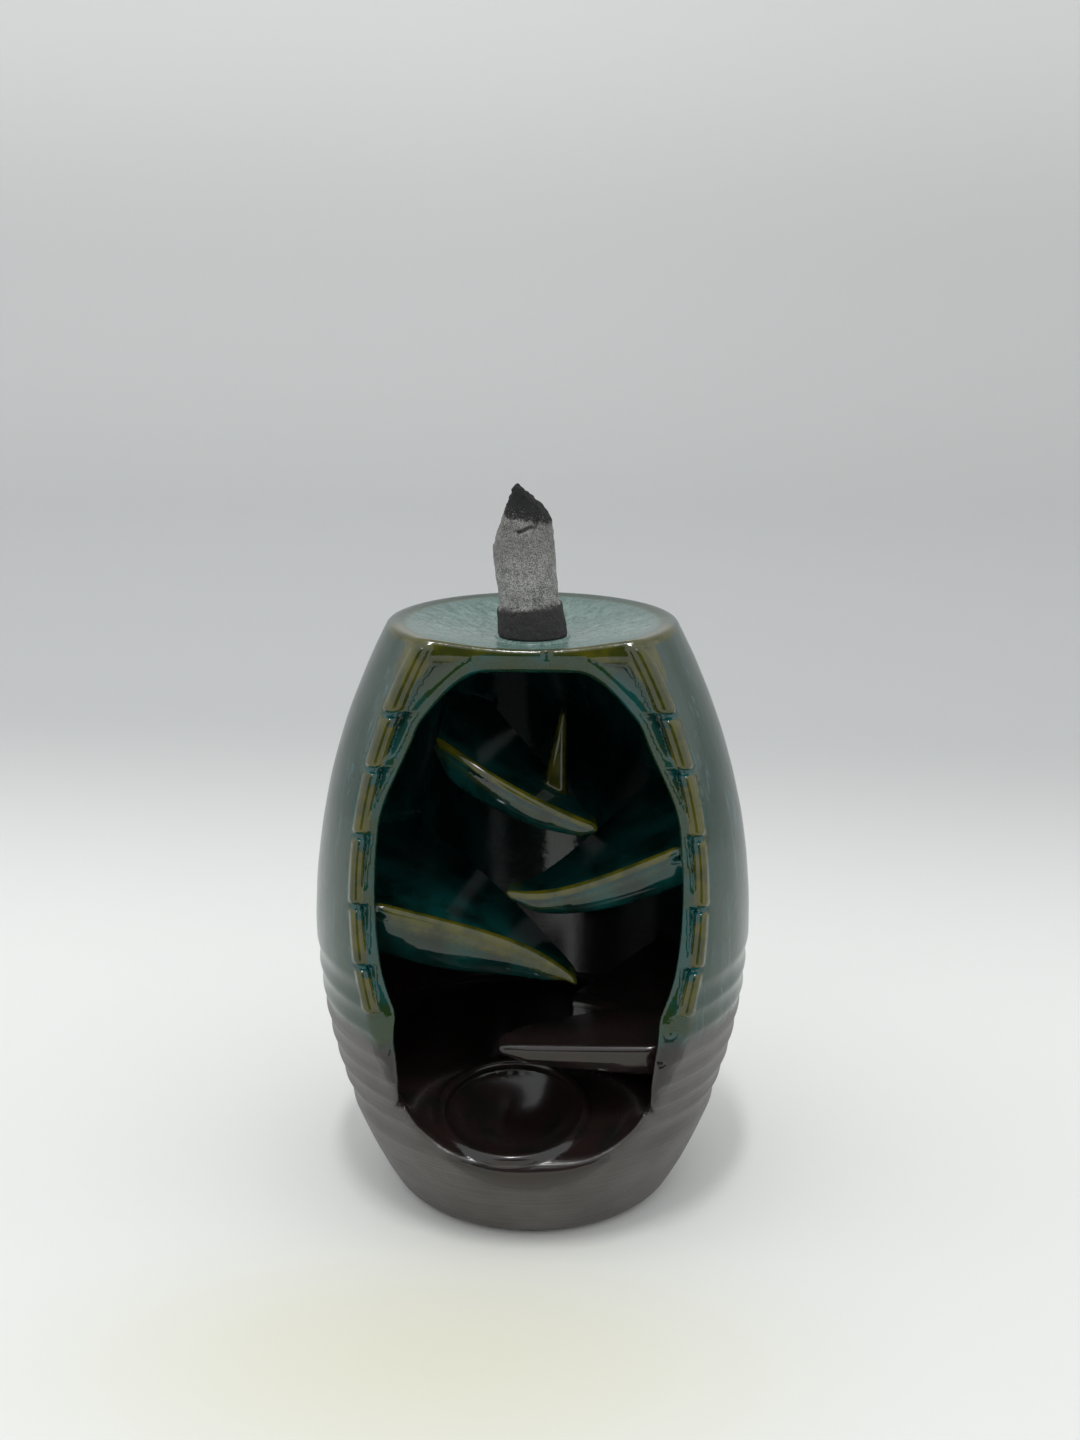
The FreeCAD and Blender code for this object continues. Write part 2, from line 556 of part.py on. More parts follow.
def make_front_cutter():
    """A block that fills everything before the slanting front plane."""
    body = new_body("front_cutter")
    front = new_sketch(body, "FrontOutline", "YZ_Plane")
    slope_text = f"({cell('front_low')} - {cell('front_high')}) / {cell('height')}"
    height = size("height")
    under = (-CLEAR, f"{-CLEAR}")
    over = (height + CLEAR, f"{cell('height')} + {CLEAR}")
    foot_y = (front_y(-CLEAR), f"-{cell('front_low')} - {CLEAR} * {slope_text}")
    head_y = (front_y(height + CLEAR), f"-{cell('front_high')} + {CLEAR} * {slope_text}")
    away = (-2 * size("belly_radius"), f"-2 * {cell('belly_radius')}")
    polygon(front, [(foot_y, under), (head_y, over), (away, over), (away, under)])
    block = body.newObject("PartDesign::Pad", "FrontBlock")
    block.Profile = front
    block.Type = "Length"
    block.Midplane = True
    block.Length = 4 * size("belly_radius")
    block.setExpression("Length", f"4 * {cell('belly_radius')}")
    return body


def stalk_levels():
    """Heights of a stalk's top, of its nodes and of its foot, counted down from the rim."""
    levels = [size("height") - size("stalk_top_gap")]
    for part in ("top", "high", "upper", "lower", "low", "foot"):
        levels.append(levels[-1] - size(f"stalk_joint_{part}"))
    return levels


def make_relief():
    """What sinks the front between the stalks and the window, with a raised lip left round the window."""
    slab_body = new_body("relief_slab")
    slab = new_sketch(slab_body, "ReliefOutline", "YZ_Plane")
    slope_text = f"({cell('front_low')} - {cell('front_high')}) / {cell('height')}"
    joints = [cell(f"stalk_joint_{part}") for part in ("top", "high", "upper", "lower", "low", "foot")]
    foot_text = " - ".join([cell("height"), cell("stalk_top_gap"), *joints])
    limits = []
    for level, level_text in (
            (stalk_levels()[-1] + size("relief_foot_gap"), f"({foot_text} + {cell('relief_foot_gap')})"),
            (size("height") - size("relief_top_gap"), f"({cell('height')} - {cell('relief_top_gap')})")):
        behind = (front_y(level) + size("relief_depth"),
                  f"-{cell('front_low')} + {level_text} * {slope_text} + {cell('relief_depth')}")
        before = (behind[0] - CLEAR, f"{behind[1]} - {CLEAR}")
        limits.append((behind, before, (level, level_text)))
    (low_behind, low_before, low), (high_behind, high_before, high) = limits
    polygon(slab, [(low_behind, low), (high_behind, high), (high_before, high), (low_before, low)])
    block = slab_body.newObject("PartDesign::Pad", "ReliefBlock")
    block.Profile = slab
    block.Type = "Length"
    block.Midplane = True
    block.Length = 4 * size("belly_radius")
    block.setExpression("Length", f"4 * {cell('belly_radius')}")

    bottom = (size("floor_height"), cell("floor_height"))
    top = (size("height"), cell("height"))
    reach_body = new_body("relief_reach")
    edge = (size("relief_edge"), cell("relief_edge"))
    revolve(reach_body, "Reach", "Revolution", barrel_sketch(reach_body, "ReachOutline", edge, bottom, top))

    lip_body = new_body("window_lip")
    inset = (size("wall") - size("lip_width"), f"({cell('wall')} - {cell('lip_width')})")
    crown = (size("height") - size("dish_depth") - size("dish_wall") + 2 * size("lip_width"),
             f"{cell('height')} - {cell('dish_depth')} - {cell('dish_wall')} + 2 * {cell('lip_width')}")
    lip = revolve(lip_body, "Lip", "Revolution", barrel_sketch(lip_body, "LipOutline", inset, bottom, crown))
    fillet(
        lip_body, "LipRound", lip,
        lambda edge, middle: abs(middle.z - crown[0]) < 0.05 and math.hypot(middle.x, middle.y) > 1,
        "lip_round")

    within = doc.addObject("Part::Common", "relief_within")
    within.Base = slab_body
    within.Tool = reach_body
    relief = doc.addObject("Part::Cut", "relief")
    relief.Base = within
    relief.Tool = lip_body
    return relief


def make_core():
    """The hollow's own form, a little larger: the ledges are trimmed to it, so they end inside the wall."""
    body = new_body("hollow_core")
    inset = (size("wall") - size("ledge_bite"), f"({cell('wall')} - {cell('ledge_bite')})")
    bottom = (size("floor_height") - size("recess_depth") - size("pond_depth"),
              f"{cell('floor_height')} - {cell('recess_depth')} - {cell('pond_depth')}")
    top = (size("height") - size("dish_depth") - size("dish_wall") / 2,
           f"{cell('height')} - {cell('dish_depth')} - {cell('dish_wall')} / 2")
    outline = barrel_sketch(body, "CoreOutline", inset, bottom, top)
    revolve(body, "Core", "Revolution", outline)
    return body


def ledge_section(name, number, along, fullness, start_x, level, back):
    """One cross-section of a ledge, in a plane across X.

    The lip is a round bead, the front face curves down and back below it, and the tray runs to the back.
    """
    def value(part):
        return size(f"{name}_{part}")

    def text(part):
        return cell(f"{name}_{part}")

    wave = math.sin(math.pi * along)
    drop = along**DROOP_POWER
    x = start_x[0] + (value("tip_x") - start_x[0]) * along
    x_text = f"({start_x[1]}) + ({text('tip_x')} - ({start_x[1]})) * {along}"
    lip_y = value("start_y") + (value("tip_y") - value("start_y")) * along - value("bulge") * wave
    lip_y_text = (f"({text('start_y')} + ({text('tip_y')} - {text('start_y')}) * {along}"
                  f" - {text('bulge')} * {wave:.5f})")
    lip_z = level[0] - value("fall") * along - value("droop") * drop
    lip_z_text = f"({level[1]} - {text('fall')} * {along} - {text('droop')} * {drop:.5f})"
    face = value("root") * (1 - along) + value("nose") * along + value("belly") * wave
    face_text = (f"(({text('root')} * {1 - along:.5f} + {text('nose')} * {along}"
                 f" + {text('belly')} * {wave:.5f}) * {fullness})")
    face *= fullness
    bead = size("lip_radius") * fullness
    bead_text = f"({cell('lip_radius')} * {fullness})"
    spread = 1 - along
    back_y = value("tip_y") + size("tip_width") + (back[0] - value("tip_y")) * spread
    back_y_text = f"({text('tip_y')} + {cell('tip_width')} + ({back[1]} - {text('tip_y')}) * {spread:.5f})"
    rise = size("tray_rise") * spread
    rise_text = f"{cell('tray_rise')} * {spread:.5f}"

    sketch = doc.addObject("Sketcher::SketchObject", f"{name}_section_{number}")
    sketch.Placement = Placement(Vector(x, 0, 0), Rotation(Vector(0, 1, 0), Vector(0, 0, 1), Vector(1, 0, 0)))
    sketch.setExpression("Placement.Base.x", x_text)
    centre = Vector(lip_y + bead, lip_z - bead, 0)
    front_point = Vector(lip_y, lip_z - bead, 0)
    inner_point = Vector(lip_y + 2 * bead, lip_z - bead, 0)
    dip = size("tray_dip") * fullness
    tray_point = Vector(back_y, lip_z - bead - dip + rise, 0)
    keel_back = Vector(back_y, lip_z - bead - face, 0)
    keel_front = Vector(lip_y + bead + face / 2, lip_z - bead - face, 0)
    tray_front = Vector(lip_y + 2 * bead + dip, lip_z - bead - dip, 0)
    # The face leaves the bead straight down, so the arc's centre lies level with it
    depth = bead + face / 2
    hull_centre = Vector(front_point.x + (depth**2 + face**2) / (2 * depth), front_point.y, 0)
    sketch.addGeometry(arc_between(centre, inner_point, front_point), False)
    sketch.addGeometry(arc_between(hull_centre, front_point, keel_front), False)
    sketch.addGeometry(Part.LineSegment(keel_front, keel_back), False)
    sketch.addGeometry(Part.LineSegment(keel_back, tray_point), False)
    sketch.addGeometry(Part.LineSegment(tray_point, tray_front), False)
    sketch.addGeometry(Part.LineSegment(tray_front, inner_point), False)
    join(sketch, [(0, 2, 1, 1), (1, 2, 2, 1), (2, 2, 3, 1), (3, 2, 4, 1), (4, 2, 5, 1), (5, 2, 0, 1)])
    level_text = f"{lip_z_text} - {bead_text}"
    keel_text = f"{level_text} - {face_text}"
    dip_text = f"{cell('tray_dip')} * {fullness}"
    pin(sketch, 0, 3, (centre.x, f"{lip_y_text} + {bead_text}"), (centre.y, level_text))
    pin(sketch, 0, 2, (front_point.x, lip_y_text), (front_point.y, level_text))
    bind(sketch, "DistanceY", 0, 1, inner_point.y, level_text)
    pin(sketch, 2, 1, (keel_front.x, f"{lip_y_text} + {bead_text} + {face_text} / 2"),
        (keel_front.y, keel_text))
    bind(sketch, "DistanceY", 1, 3, hull_centre.y, level_text)
    pin(sketch, 3, 1, (back_y, back_y_text), (keel_back.y, keel_text))
    pin(sketch, 4, 1, (back_y, back_y_text), (tray_point.y, f"{level_text} - {dip_text} + {rise_text}"))
    pin(sketch, 5, 1, (tray_front.x, f"{lip_y_text} + 2 * {bead_text} + {dip_text}"),
        (tray_front.y, f"{level_text} - {dip_text}"))
    return sketch


def make_ledge(name, start_x, level, back, stations):
    """A boat-shaped ledge, lofted along X from its start to its spout."""
    sections = [
        ledge_section(name, number, along, fullness, start_x, level, back)
        for number, (along, fullness) in enumerate(stations, start=1)
    ]
    loft = doc.addObject("Part::Loft", name)
    loft.Sections = sections
    loft.Solid = True
    loft.Ruled = False
    return loft


def make_ledges(core):
    """The four ledges and the fin, trimmed to the hollow."""
    belly = size("belly_radius")
    left = (-belly, f"-{cell('belly_radius')}")
    right = (belly, cell("belly_radius"))
    back = (belly, cell("belly_radius"))
    top_start = (size("top_ledge_start_x"), cell("top_ledge_start_x"))
    top_level, right_level, left_level = [
        (size("height") - size(alias), f"({cell('height')} - {cell(alias)})")
        for alias in ("top_ledge_drop", "right_ledge_drop", "left_ledge_drop")
    ]
    low_level = (size("floor_height") + size("low_ledge_lift"),
                 f"({cell('floor_height')} + {cell('low_ledge_lift')})")
    ledges = [
        make_ledge("top_ledge", top_start, top_level, back, FREE_END_STATIONS),
        make_ledge("right_ledge", right, right_level, back, STATIONS),
        make_ledge("left_ledge", left, left_level, back, STATIONS),
        make_ledge("low_ledge", right, low_level, back, STATIONS),
    ]

    fin = doc.addObject("Part::Wedge", "fin")
    thickness = size("fin_thickness")
    edge = size("fin_edge")
    limits = {
        "Xmin": (0.0, "0"),
        "Xmax": (thickness, cell("fin_thickness")),
        "X2min": (0.0, "0"),
        "X2max": (edge, cell("fin_edge")),
        "Ymin": (0.0, "0"),
        "Ymax": (size("fin_height"), cell("fin_height")),
        "Zmin": (0.0, "0"),
        "Zmax": (size("fin_length"), cell("fin_length")),
        "Z2min": (size("fin_length") / 4, f"{cell('fin_length')} / 4"),
        "Z2max": (size("fin_length"), cell("fin_length")),
    }
    for limit, (number, expression) in limits.items():
        setattr(fin, limit, number)
        fin.setExpression(limit, expression)
    # It stands in the top ledge; the wedge's own Y stands up and its Z runs to the back
    fin_x = size("fin_side") + thickness / 2
    fin_x_text = f"({cell('fin_side')} + {cell('fin_thickness')} / 2)"
    along = (fin_x - top_start[0]) / (size("top_ledge_tip_x") - top_start[0])
    along_text = f"(({fin_x_text} - {top_start[1]}) / ({cell('top_ledge_tip_x')} - {top_start[1]}))"
    fin_z = top_level[0] - size("top_ledge_fall") * along - size("fin_sink")
    fin.Placement = Placement(
        Vector(fin_x, -size("fin_front"), fin_z),
        Rotation(Vector(-1, 0, 0), Vector(0, 0, 1), Vector(0, 1, 0)))
    fin.setExpression("Placement.Base.x", fin_x_text)
    fin.setExpression("Placement.Base.y", f"-{cell('fin_front')}")
    fin.setExpression(
        "Placement.Base.z",
        f"{top_level[1]} - {cell('top_ledge_fall')} * {along_text} - {cell('fin_sink')}")

    together = doc.addObject("Part::MultiFuse", "ledges_untrimmed")
    together.Shapes = [*ledges, fin]
    trimmed = doc.addObject("Part::Common", "ledges")
    trimmed.Base = together
    trimmed.Tool = core
    return trimmed


def stalk_point(z):
    """Middle of the right-hand stalk at a height: it follows the edge of the slanting front."""
    front = front_y(z)
    x = math.sqrt(barrel_radius(z) ** 2 - front**2) - size("stalk_radius") - size("stalk_edge")
    return Vector(x, front + size("stalk_sink"), z)


def make_stalks():
    """Two bamboo stalks in relief, each a chain of slightly tapered joints with a notch at every node."""
    levels = stalk_levels()
    joints = []
    for side, name in ((-1, "left"), (1, "right")):
        for index in range(len(levels) - 1):
            upper = stalk_point(levels[index])
            lower = stalk_point(levels[index + 1])
            for point in (upper, lower):
                point.x *= side
            direction = (upper - lower).normalize()
            gap = size("stalk_gap") / 2
            joint = doc.addObject("Part::Cone", f"{name}_stalk_joint_{index + 1}")
            joint.Radius1 = size("stalk_radius")
            joint.Radius2 = size("stalk_radius") - size("stalk_taper")
            joint.setExpression("Radius1", cell("stalk_radius"))
            joint.setExpression("Radius2", f"{cell('stalk_radius')} - {cell('stalk_taper')}")
            joint.Height = (upper - lower).Length - 2 * gap
            joint.Placement = Placement(lower + direction * gap, Rotation(Vector(0, 0, 1), direction))
            joints.append(joint)
    stalks = doc.addObject("Part::MultiFuse", "stalks")
    stalks.Shapes = joints
    return stalks


def make_burner():
    """All of the casting in one solid."""
    front = make_front_cutter()
    shell = doc.addObject("Part::Cut", "open_shell")
    shell.Base = make_shell()
    shell.Tool = front
    shelves = doc.addObject("Part::Cut", "open_ledges")
    shelves.Base = make_ledges(make_core())
    shelves.Tool = front
    opened = doc.addObject("Part::MultiFuse", "opened_barrel")
    opened.Shapes = [shell, shelves]
    sunk = doc.addObject("Part::Cut", "sunk_front")
    sunk.Base = opened
    sunk.Tool = make_relief()
    carved = doc.addObject("Part::Cut", "carved_barrel")
    carved.Base = sunk
    carved.Tool = make_pond_cutter()
    burner = doc.addObject("Part::MultiFuse", "burner")
    burner.Label = "burner_body"
    burner.Shapes = [carved, make_stalks()]
    return burner


def make_cone():
    """The part-burnt cone: a collar, a slim body and a blunt tip, leaning to the left on the seat ring."""
    body = new_body("incense_cone")
    profile = new_sketch(body, "ConeOutline", "XZ_Plane")
    profile.AttachmentOffset = Placement(
        Vector(0, seat_level(), 0), Rotation(Vector(0, 0, 1), size("cone_lean")))
    profile.setExpression("AttachmentOffset.Base.y", SEAT_LEVEL)
    profile.setExpression("AttachmentOffset.Rotation.Angle", cell("cone_lean"))
    sunk = -size("cone_base_radius")
    shoulder = Vector(size("cone_shoulder_radius"), size("cone_shoulder_height"), 0)
    tip = Vector(size("cone_tip_radius"), size("cone_length"), 0)
    corners = [Vector(0, sunk, 0), Vector(size("cone_base_radius"), sunk, 0),
               Vector(size("cone_base_radius"), 0, 0),
               Vector(size("cone_collar_radius"), size("cone_collar_height"), 0), shoulder, tip,
               Vector(0, size("cone_length"), 0)]
    for index in range(4):
        profile.addGeometry(Part.LineSegment(corners[index], corners[index + 1]), False)
    # The tip's arc leaves the shoulder straight up
    rise = tip.y - shoulder.y
    inward = shoulder.x - tip.x
    arc_radius = (rise**2 + inward**2) / (2 * inward)
    arc_centre = Vector(shoulder.x - arc_radius, shoulder.y, 0)
    profile.addGeometry(arc_between(arc_centre, shoulder, tip), False)
    profile.addGeometry(Part.LineSegment(tip, corners[6]), False)
    profile.addGeometry(Part.LineSegment(corners[6], corners[0]), False)
    join(profile, [(index, 2, (index + 1) % 7, 1) for index in range(7)])
    base_text = cell("cone_base_radius")
    pin(profile, 0, 1, (0.0, "0"), (sunk, f"-{base_text}"))
    pin(profile, 1, 1, (corners[1].x, base_text), (sunk, f"-{base_text}"))
    pin(profile, 2, 1, (corners[2].x, base_text), (0.0, "0"))
    pin(profile, 3, 1, (corners[3].x, cell("cone_collar_radius")), (corners[3].y, cell("cone_collar_height")))
    pin(profile, 4, 1, (shoulder.x, cell("cone_shoulder_radius")), (shoulder.y, cell("cone_shoulder_height")))
    pin(profile, 5, 1, (tip.x, cell("cone_tip_radius")), (tip.y, cell("cone_length")))
    pin(profile, 6, 1, (0.0, "0"), (tip.y, cell("cone_length")))
    bind(profile, "DistanceY", 4, 3, shoulder.y, cell("cone_shoulder_height"))
    revolve(body, "Cone", "Revolution", profile)

    # The foot is worn level where it stands on the seat ring
    level = new_sketch(body, "LevelOutline", "XY_Plane")
    level.AttachmentOffset = Placement(Vector(0, 0, seat_level()), Rotation())
    level.setExpression("AttachmentOffset.Base.z", SEAT_LEVEL)
    reach = 3 * size("cone_base_radius")
    reach_text = f"3 * {base_text}"
    near = (-reach, f"-{reach_text}")
    far = (reach, reach_text)
    polygon(level, [(near, near), (far, near), (far, far), (near, far)])
    level_cut = body.newObject("PartDesign::Pocket", "LevelFoot")
    level_cut.Profile = level
    level_cut.Type = "Length"
    level_cut.Length = reach
    level_cut.setExpression("Length", reach_text)

    # The blind hole that the smoke falls through, along the leaning axis
    hole = new_sketch(body, "ConeHoleOutline", "XZ_Plane")
    hole.AttachmentOffset = Placement(
        Vector(0, seat_level(), 0), Rotation(Vector(0, 0, 1), size("cone_lean")))
    hole.setExpression("AttachmentOffset.Base.y", SEAT_LEVEL)
    hole.setExpression("AttachmentOffset.Rotation.Angle", cell("cone_lean"))
    axis = (0.0, "0")
    edge = (size("cone_hole_radius"), cell("cone_hole_radius"))
    low = (sunk, f"-{base_text}")
    high = (size("cone_hole_depth"), cell("cone_hole_depth"))
    polygon(hole, [(axis, low), (edge, low), (edge, high), (axis, high)])
    revolve(body, "ConeHole", "Groove", hole)
    return body


burner = make_burner()
cone = make_cone()
doc.recompute()

for item in doc.Objects:
    if "Invalid" in item.State or "Error" in item.State:
        raise RuntimeError(f"{item.Label}: {item.State}")

os.makedirs("parts", exist_ok=True)
for piece in (burner, cone):
    shape = piece.Shape
    if shape.isNull() or not shape.isValid() or len(shape.Solids) != 1:
        raise RuntimeError(f"{piece.Label}: {len(shape.Solids)} solids, valid {shape.isValid()}")
    shape.exportStep(f"parts/{piece.Label}.step")
    box = shape.BoundBox
    print(f"{piece.Label}: {shape.Volume / 1000:.2f} cm3,"
          f" {box.XLength:.2f} x {box.YLength:.2f} x {box.ZLength:.2f} mm, top at {box.ZMax:.2f}")
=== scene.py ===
import itertools
import math

import bpy
import numpy as np
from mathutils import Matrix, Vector


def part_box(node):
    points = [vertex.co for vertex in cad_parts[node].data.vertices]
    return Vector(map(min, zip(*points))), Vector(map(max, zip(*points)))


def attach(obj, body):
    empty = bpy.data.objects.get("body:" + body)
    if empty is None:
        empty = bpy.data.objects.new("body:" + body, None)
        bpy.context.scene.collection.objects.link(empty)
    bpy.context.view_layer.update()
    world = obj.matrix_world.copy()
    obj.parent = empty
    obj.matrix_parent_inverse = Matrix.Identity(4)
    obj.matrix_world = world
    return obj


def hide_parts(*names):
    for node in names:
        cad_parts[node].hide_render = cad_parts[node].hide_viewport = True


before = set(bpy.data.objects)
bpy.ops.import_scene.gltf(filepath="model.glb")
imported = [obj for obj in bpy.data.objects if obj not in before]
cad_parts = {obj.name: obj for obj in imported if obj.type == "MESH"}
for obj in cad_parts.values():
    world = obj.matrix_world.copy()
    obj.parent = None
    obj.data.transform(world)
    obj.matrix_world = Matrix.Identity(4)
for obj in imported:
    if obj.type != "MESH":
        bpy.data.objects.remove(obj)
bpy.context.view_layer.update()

# Sizes are in millimetres, as in the part's own sheet; the meshes are scaled to metres at the end
MM = 0.001
burner_low, burner_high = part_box("burner_body")

# The barrel
HEIGHT = round(burner_high.z / MM, 2)
BELLY_RADIUS = round(burner_high.x / MM, 1)
FOOT_RADIUS = 25.5
BELLY_HEIGHT = 51.0
RIM_RADIUS = 25.4
WALL = 4.0
DISH_RADIUS = 24.0
DISH_DEPTH = 4.0
DISH_WALL = 4.0
SEAT_RADIUS = 6.6
SEAT_HEIGHT = 0.8
SMOKE_HOLE_RADIUS = 2.75
FLOOR_HEIGHT = 24.0
RECESS_RADIUS = 20.0
RECESS_DEPTH = 3.0
RING_START = 19.5
RING_PITCH = 4.6
RING_COUNT = 7
RING_DEPTH = 0.4
RING_CURVE = 5.5

# The slanting front
FRONT_LOW = 35.9
FRONT_HIGH = 17.5
FRONT_SLOPE = (FRONT_LOW - FRONT_HIGH) / HEIGHT
FRONT_STRETCH = math.hypot(1.0, FRONT_SLOPE)
RELIEF_DEPTH = 1.5
LINTEL_HEIGHT = 105.0

# The window in it: its arch is lifted a little, and its upper corners are fuller
ARCH_LIFT = 0.4
CORNER_FULLNESS = 2.3
CORNER_SIDES = (8.0, 17.5)
ARCH_HEIGHTS = (76.0, 92.0)
ARCH_DEPTHS = (-14.0, -5.0)

# The band round the window, which leans into it
BAND_WIDTH = 2.2
BAND_GROWTH = 0.8
BAND_SLOPE = 0.36
BAND_TOP = (82.0, 96.0)
BAND_FOOT = (42.0, 52.0)

# The spandrels between the band, the stalks and the lintel
SPANDREL_SHARE = 0.8
SPANDREL_FADE = 2.2
SPANDREL_HEIGHTS = (93.5, 96.4)
SPANDREL_SIDES = (6.0, 15.0)

# The tapered slots between the band and the stalks
SLOT_BAND = 1.2
SLOT_BAND_GROWTH = 0.6
SLOT_TAPER = 0.9
SLOT_HEIGHTS = (70.0, 90.0)
SLOT_OVERLAP = 0.3
SLOT_FADE = 0.9

# Pond
POND_CENTRE = (-3.0, -19.0, 21.4)
POND_TILT = math.radians(12.6)
POND_RADIUS = 13.0
POND_DEPTH = 7.0
POND_RING_RADIUS = 13.0
POND_RING_THICKNESS = 0.85
POND_RING_RISE = 0.1
RAMP_SHIFT = 2.5
RAMP_FOOT = 17.3
RAMP_EDGE = 22.9
RAMP_RISE = 7.0
RAMP_REACH = 9.0
SCOOP_REACH = 24.5
SCOOP_INSET = 4.5

# Bamboo stalks
STALK_HEIGHTS = (44.0, 58.0, 70.0, 84.0, 96.0)
STALK_RADII = (1.35, 1.25, 1.2, 1.4, 1.6)
STALK_TAPER = 0.12
STALK_BULGE = 0.10
STALK_EDGE = -0.35
STALK_SINK = 0.5
STALK_GAP = 0.9
STALK_LEVELS = (107.2, 95.3, 86.0, 74.8, 62.8, 52.4, 44.0)

# The ledges, by the same measures as in the part
LIP_RADIUS = 1.15
TRAY_DIP = 1.3
TRAY_RISE = 3.0
TIP_WIDTH = 5.0
DROOP_POWER = 6
LEDGES = (
    dict(start=(-18.0, -8.0, 89.0), tip=(12.5, -12.5), fall=16.0, droop=0.0, bulge=5.0, root=7.5, nose=2.2,
         belly=1.5, free_end=True),
    dict(start=(BELLY_RADIUS, -25.0, 80.5), tip=(-5.0, -14.0), fall=24.5, droop=-5.8, bulge=0.5, root=8.5,
         nose=2.0, belly=2.5, free_end=False),
    dict(start=(-BELLY_RADIUS, -24.6, 66.4), tip=(9.0, -17.0), fall=14.8, droop=6.2, bulge=1.0, root=7.0,
         nose=2.2, belly=6.5, free_end=False),
    dict(start=(BELLY_RADIUS, -26.5, 38.0), tip=(-6.0, -22.0), fall=2.6, droop=0.0, bulge=0.5, root=10.0,
         nose=3.2, belly=0.5, free_end=False),
)
# Small pits in the glaze of the front: side, height, radius
DIMPLES = ((-25.0, 38.0, 1.2), (24.5, 41.4, 1.1), (23.0, 36.4, 1.0), (21.4, 31.4, 0.9), (2.9, 105.0, 0.9))
FIN_RIGHT = 6.1
FIN_FRONT = -0.5
FIN_LENGTH = 7.0
FIN_THICKNESS = 4.6
FIN_EDGE = 1.0
FIN_FOOT = 74.86
FIN_TOP = 90.36

# Widths of the roundings between the forms
FOOT_ROUND = 2.6
RIM_ROUND = 1.0
THROWING_ROUND = 0.5
FLOOR_ROUND = 3.0
CEILING_ROUND = 11.7
DISH_ROUND = 1.4
FRONT_ROUND = 1.1
WINDOW_ROUND = 1.2
WINDOW_TOP_ROUND = 1.0
STALK_ROUND = 0.5
STALK_END_ROUND = 0.9
LEDGE_ROUND = 1.8
KEEL_ROUND = 1.8
TIP_ROUND = 1.6
FREE_END_ROUND = 2.4
FIN_ROUND = 1.4
FIN_END_ROUND = 0.9
RAMP_ROUND = 3.0
SCOOP_ROUND = 7.0
POND_ROUND = 2.2
RECESS_ROUND = 1.4

# Arcs that follow from those sizes
LOWER_ARC = (BELLY_HEIGHT**2 + (BELLY_RADIUS - FOOT_RADIUS) ** 2) / (2 * (BELLY_RADIUS - FOOT_RADIUS))
UPPER_HEIGHT = HEIGHT - BELLY_HEIGHT
UPPER_ARC = (UPPER_HEIGHT**2 + (BELLY_RADIUS - RIM_RADIUS) ** 2) / (2 * (BELLY_RADIUS - RIM_RADIUS))
DISH_ARC = (DISH_RADIUS**2 + DISH_DEPTH**2) / (2 * DISH_DEPTH)
DISH_CENTRE = HEIGHT - DISH_DEPTH + DISH_ARC
SEAT_LEVEL = HEIGHT - DISH_DEPTH + SEAT_HEIGHT


def soft_min(a, b, width):
    """The smaller of two distances, with a rounded join that is about this wide."""
    share = np.clip(0.5 + 0.5 * (b - a) / width, 0.0, 1.0)
    return b + (a - b) * share - width * share * (1.0 - share)


def soft_max(a, b, width):
    """The larger of two distances, with a rounded join."""
    return -soft_min(-a, -b, width)


def smooth_step(low, high, value):
    """From 0 below the low limit to 1 above the high one."""
    share = np.clip((value - low) / (high - low), 0.0, 1.0)
    return share * share * (3.0 - 2.0 * share)


def barrel(r, z, inset=0.0):
    """Distance to the turned outline, moved inwards by the inset."""
    arc = np.where(z < BELLY_HEIGHT, LOWER_ARC, UPPER_ARC)
    return np.hypot(r - BELLY_RADIUS + arc, z - BELLY_HEIGHT) - arc + inset


def barrel_radius(z):
    arc = np.where(z < BELLY_HEIGHT, LOWER_ARC, UPPER_ARC)
    return BELLY_RADIUS - arc + np.sqrt(arc**2 - (z - BELLY_HEIGHT) ** 2)


def front_y(z):
    """Where the slanting front plane lies at a height."""
    return -FRONT_LOW + FRONT_SLOPE * z


def before_front(y, z):
    """Distance before the front plane; negative behind it."""
    return (front_y(z) - y) / FRONT_STRETCH


def hollow(r, z, inset=WALL):
    """The hollow inside the barrel: negative inside it."""
    ceiling = DISH_ARC + DISH_WALL - np.hypot(r, z - DISH_CENTRE)
    inside = soft_max(barrel(r, z, inset), FLOOR_HEIGHT - z, FLOOR_ROUND)
    return soft_max(inside, ceiling, CEILING_ROUND)


def stalk_radius(z):
    return np.interp(z, STALK_HEIGHTS, STALK_RADII)


def stalk_line(z):
    """Middle of the right-hand stalk at a height."""
    y = front_y(z)
    return np.sqrt(barrel_radius(z) ** 2 - y**2) - stalk_radius(z) - STALK_EDGE, y + STALK_SINK


def from_stalk(x, y, z):
    """Distance from the middle line of the nearer stalk, how much that line leans, and the side of it."""
    level = np.clip(z, STALK_LEVELS[-1], STALK_LEVELS[0])
    middle_x, middle_y = stalk_line(level)
    upper_x, _ = stalk_line(level + 0.5)
    lean = 1.0 / np.hypot(1.0, (upper_x - middle_x) / 0.5)
    across = np.hypot((np.abs(x) - middle_x) * lean, (y - middle_y) / FRONT_STRETCH)
    return across, lean, np.abs(x) - middle_x


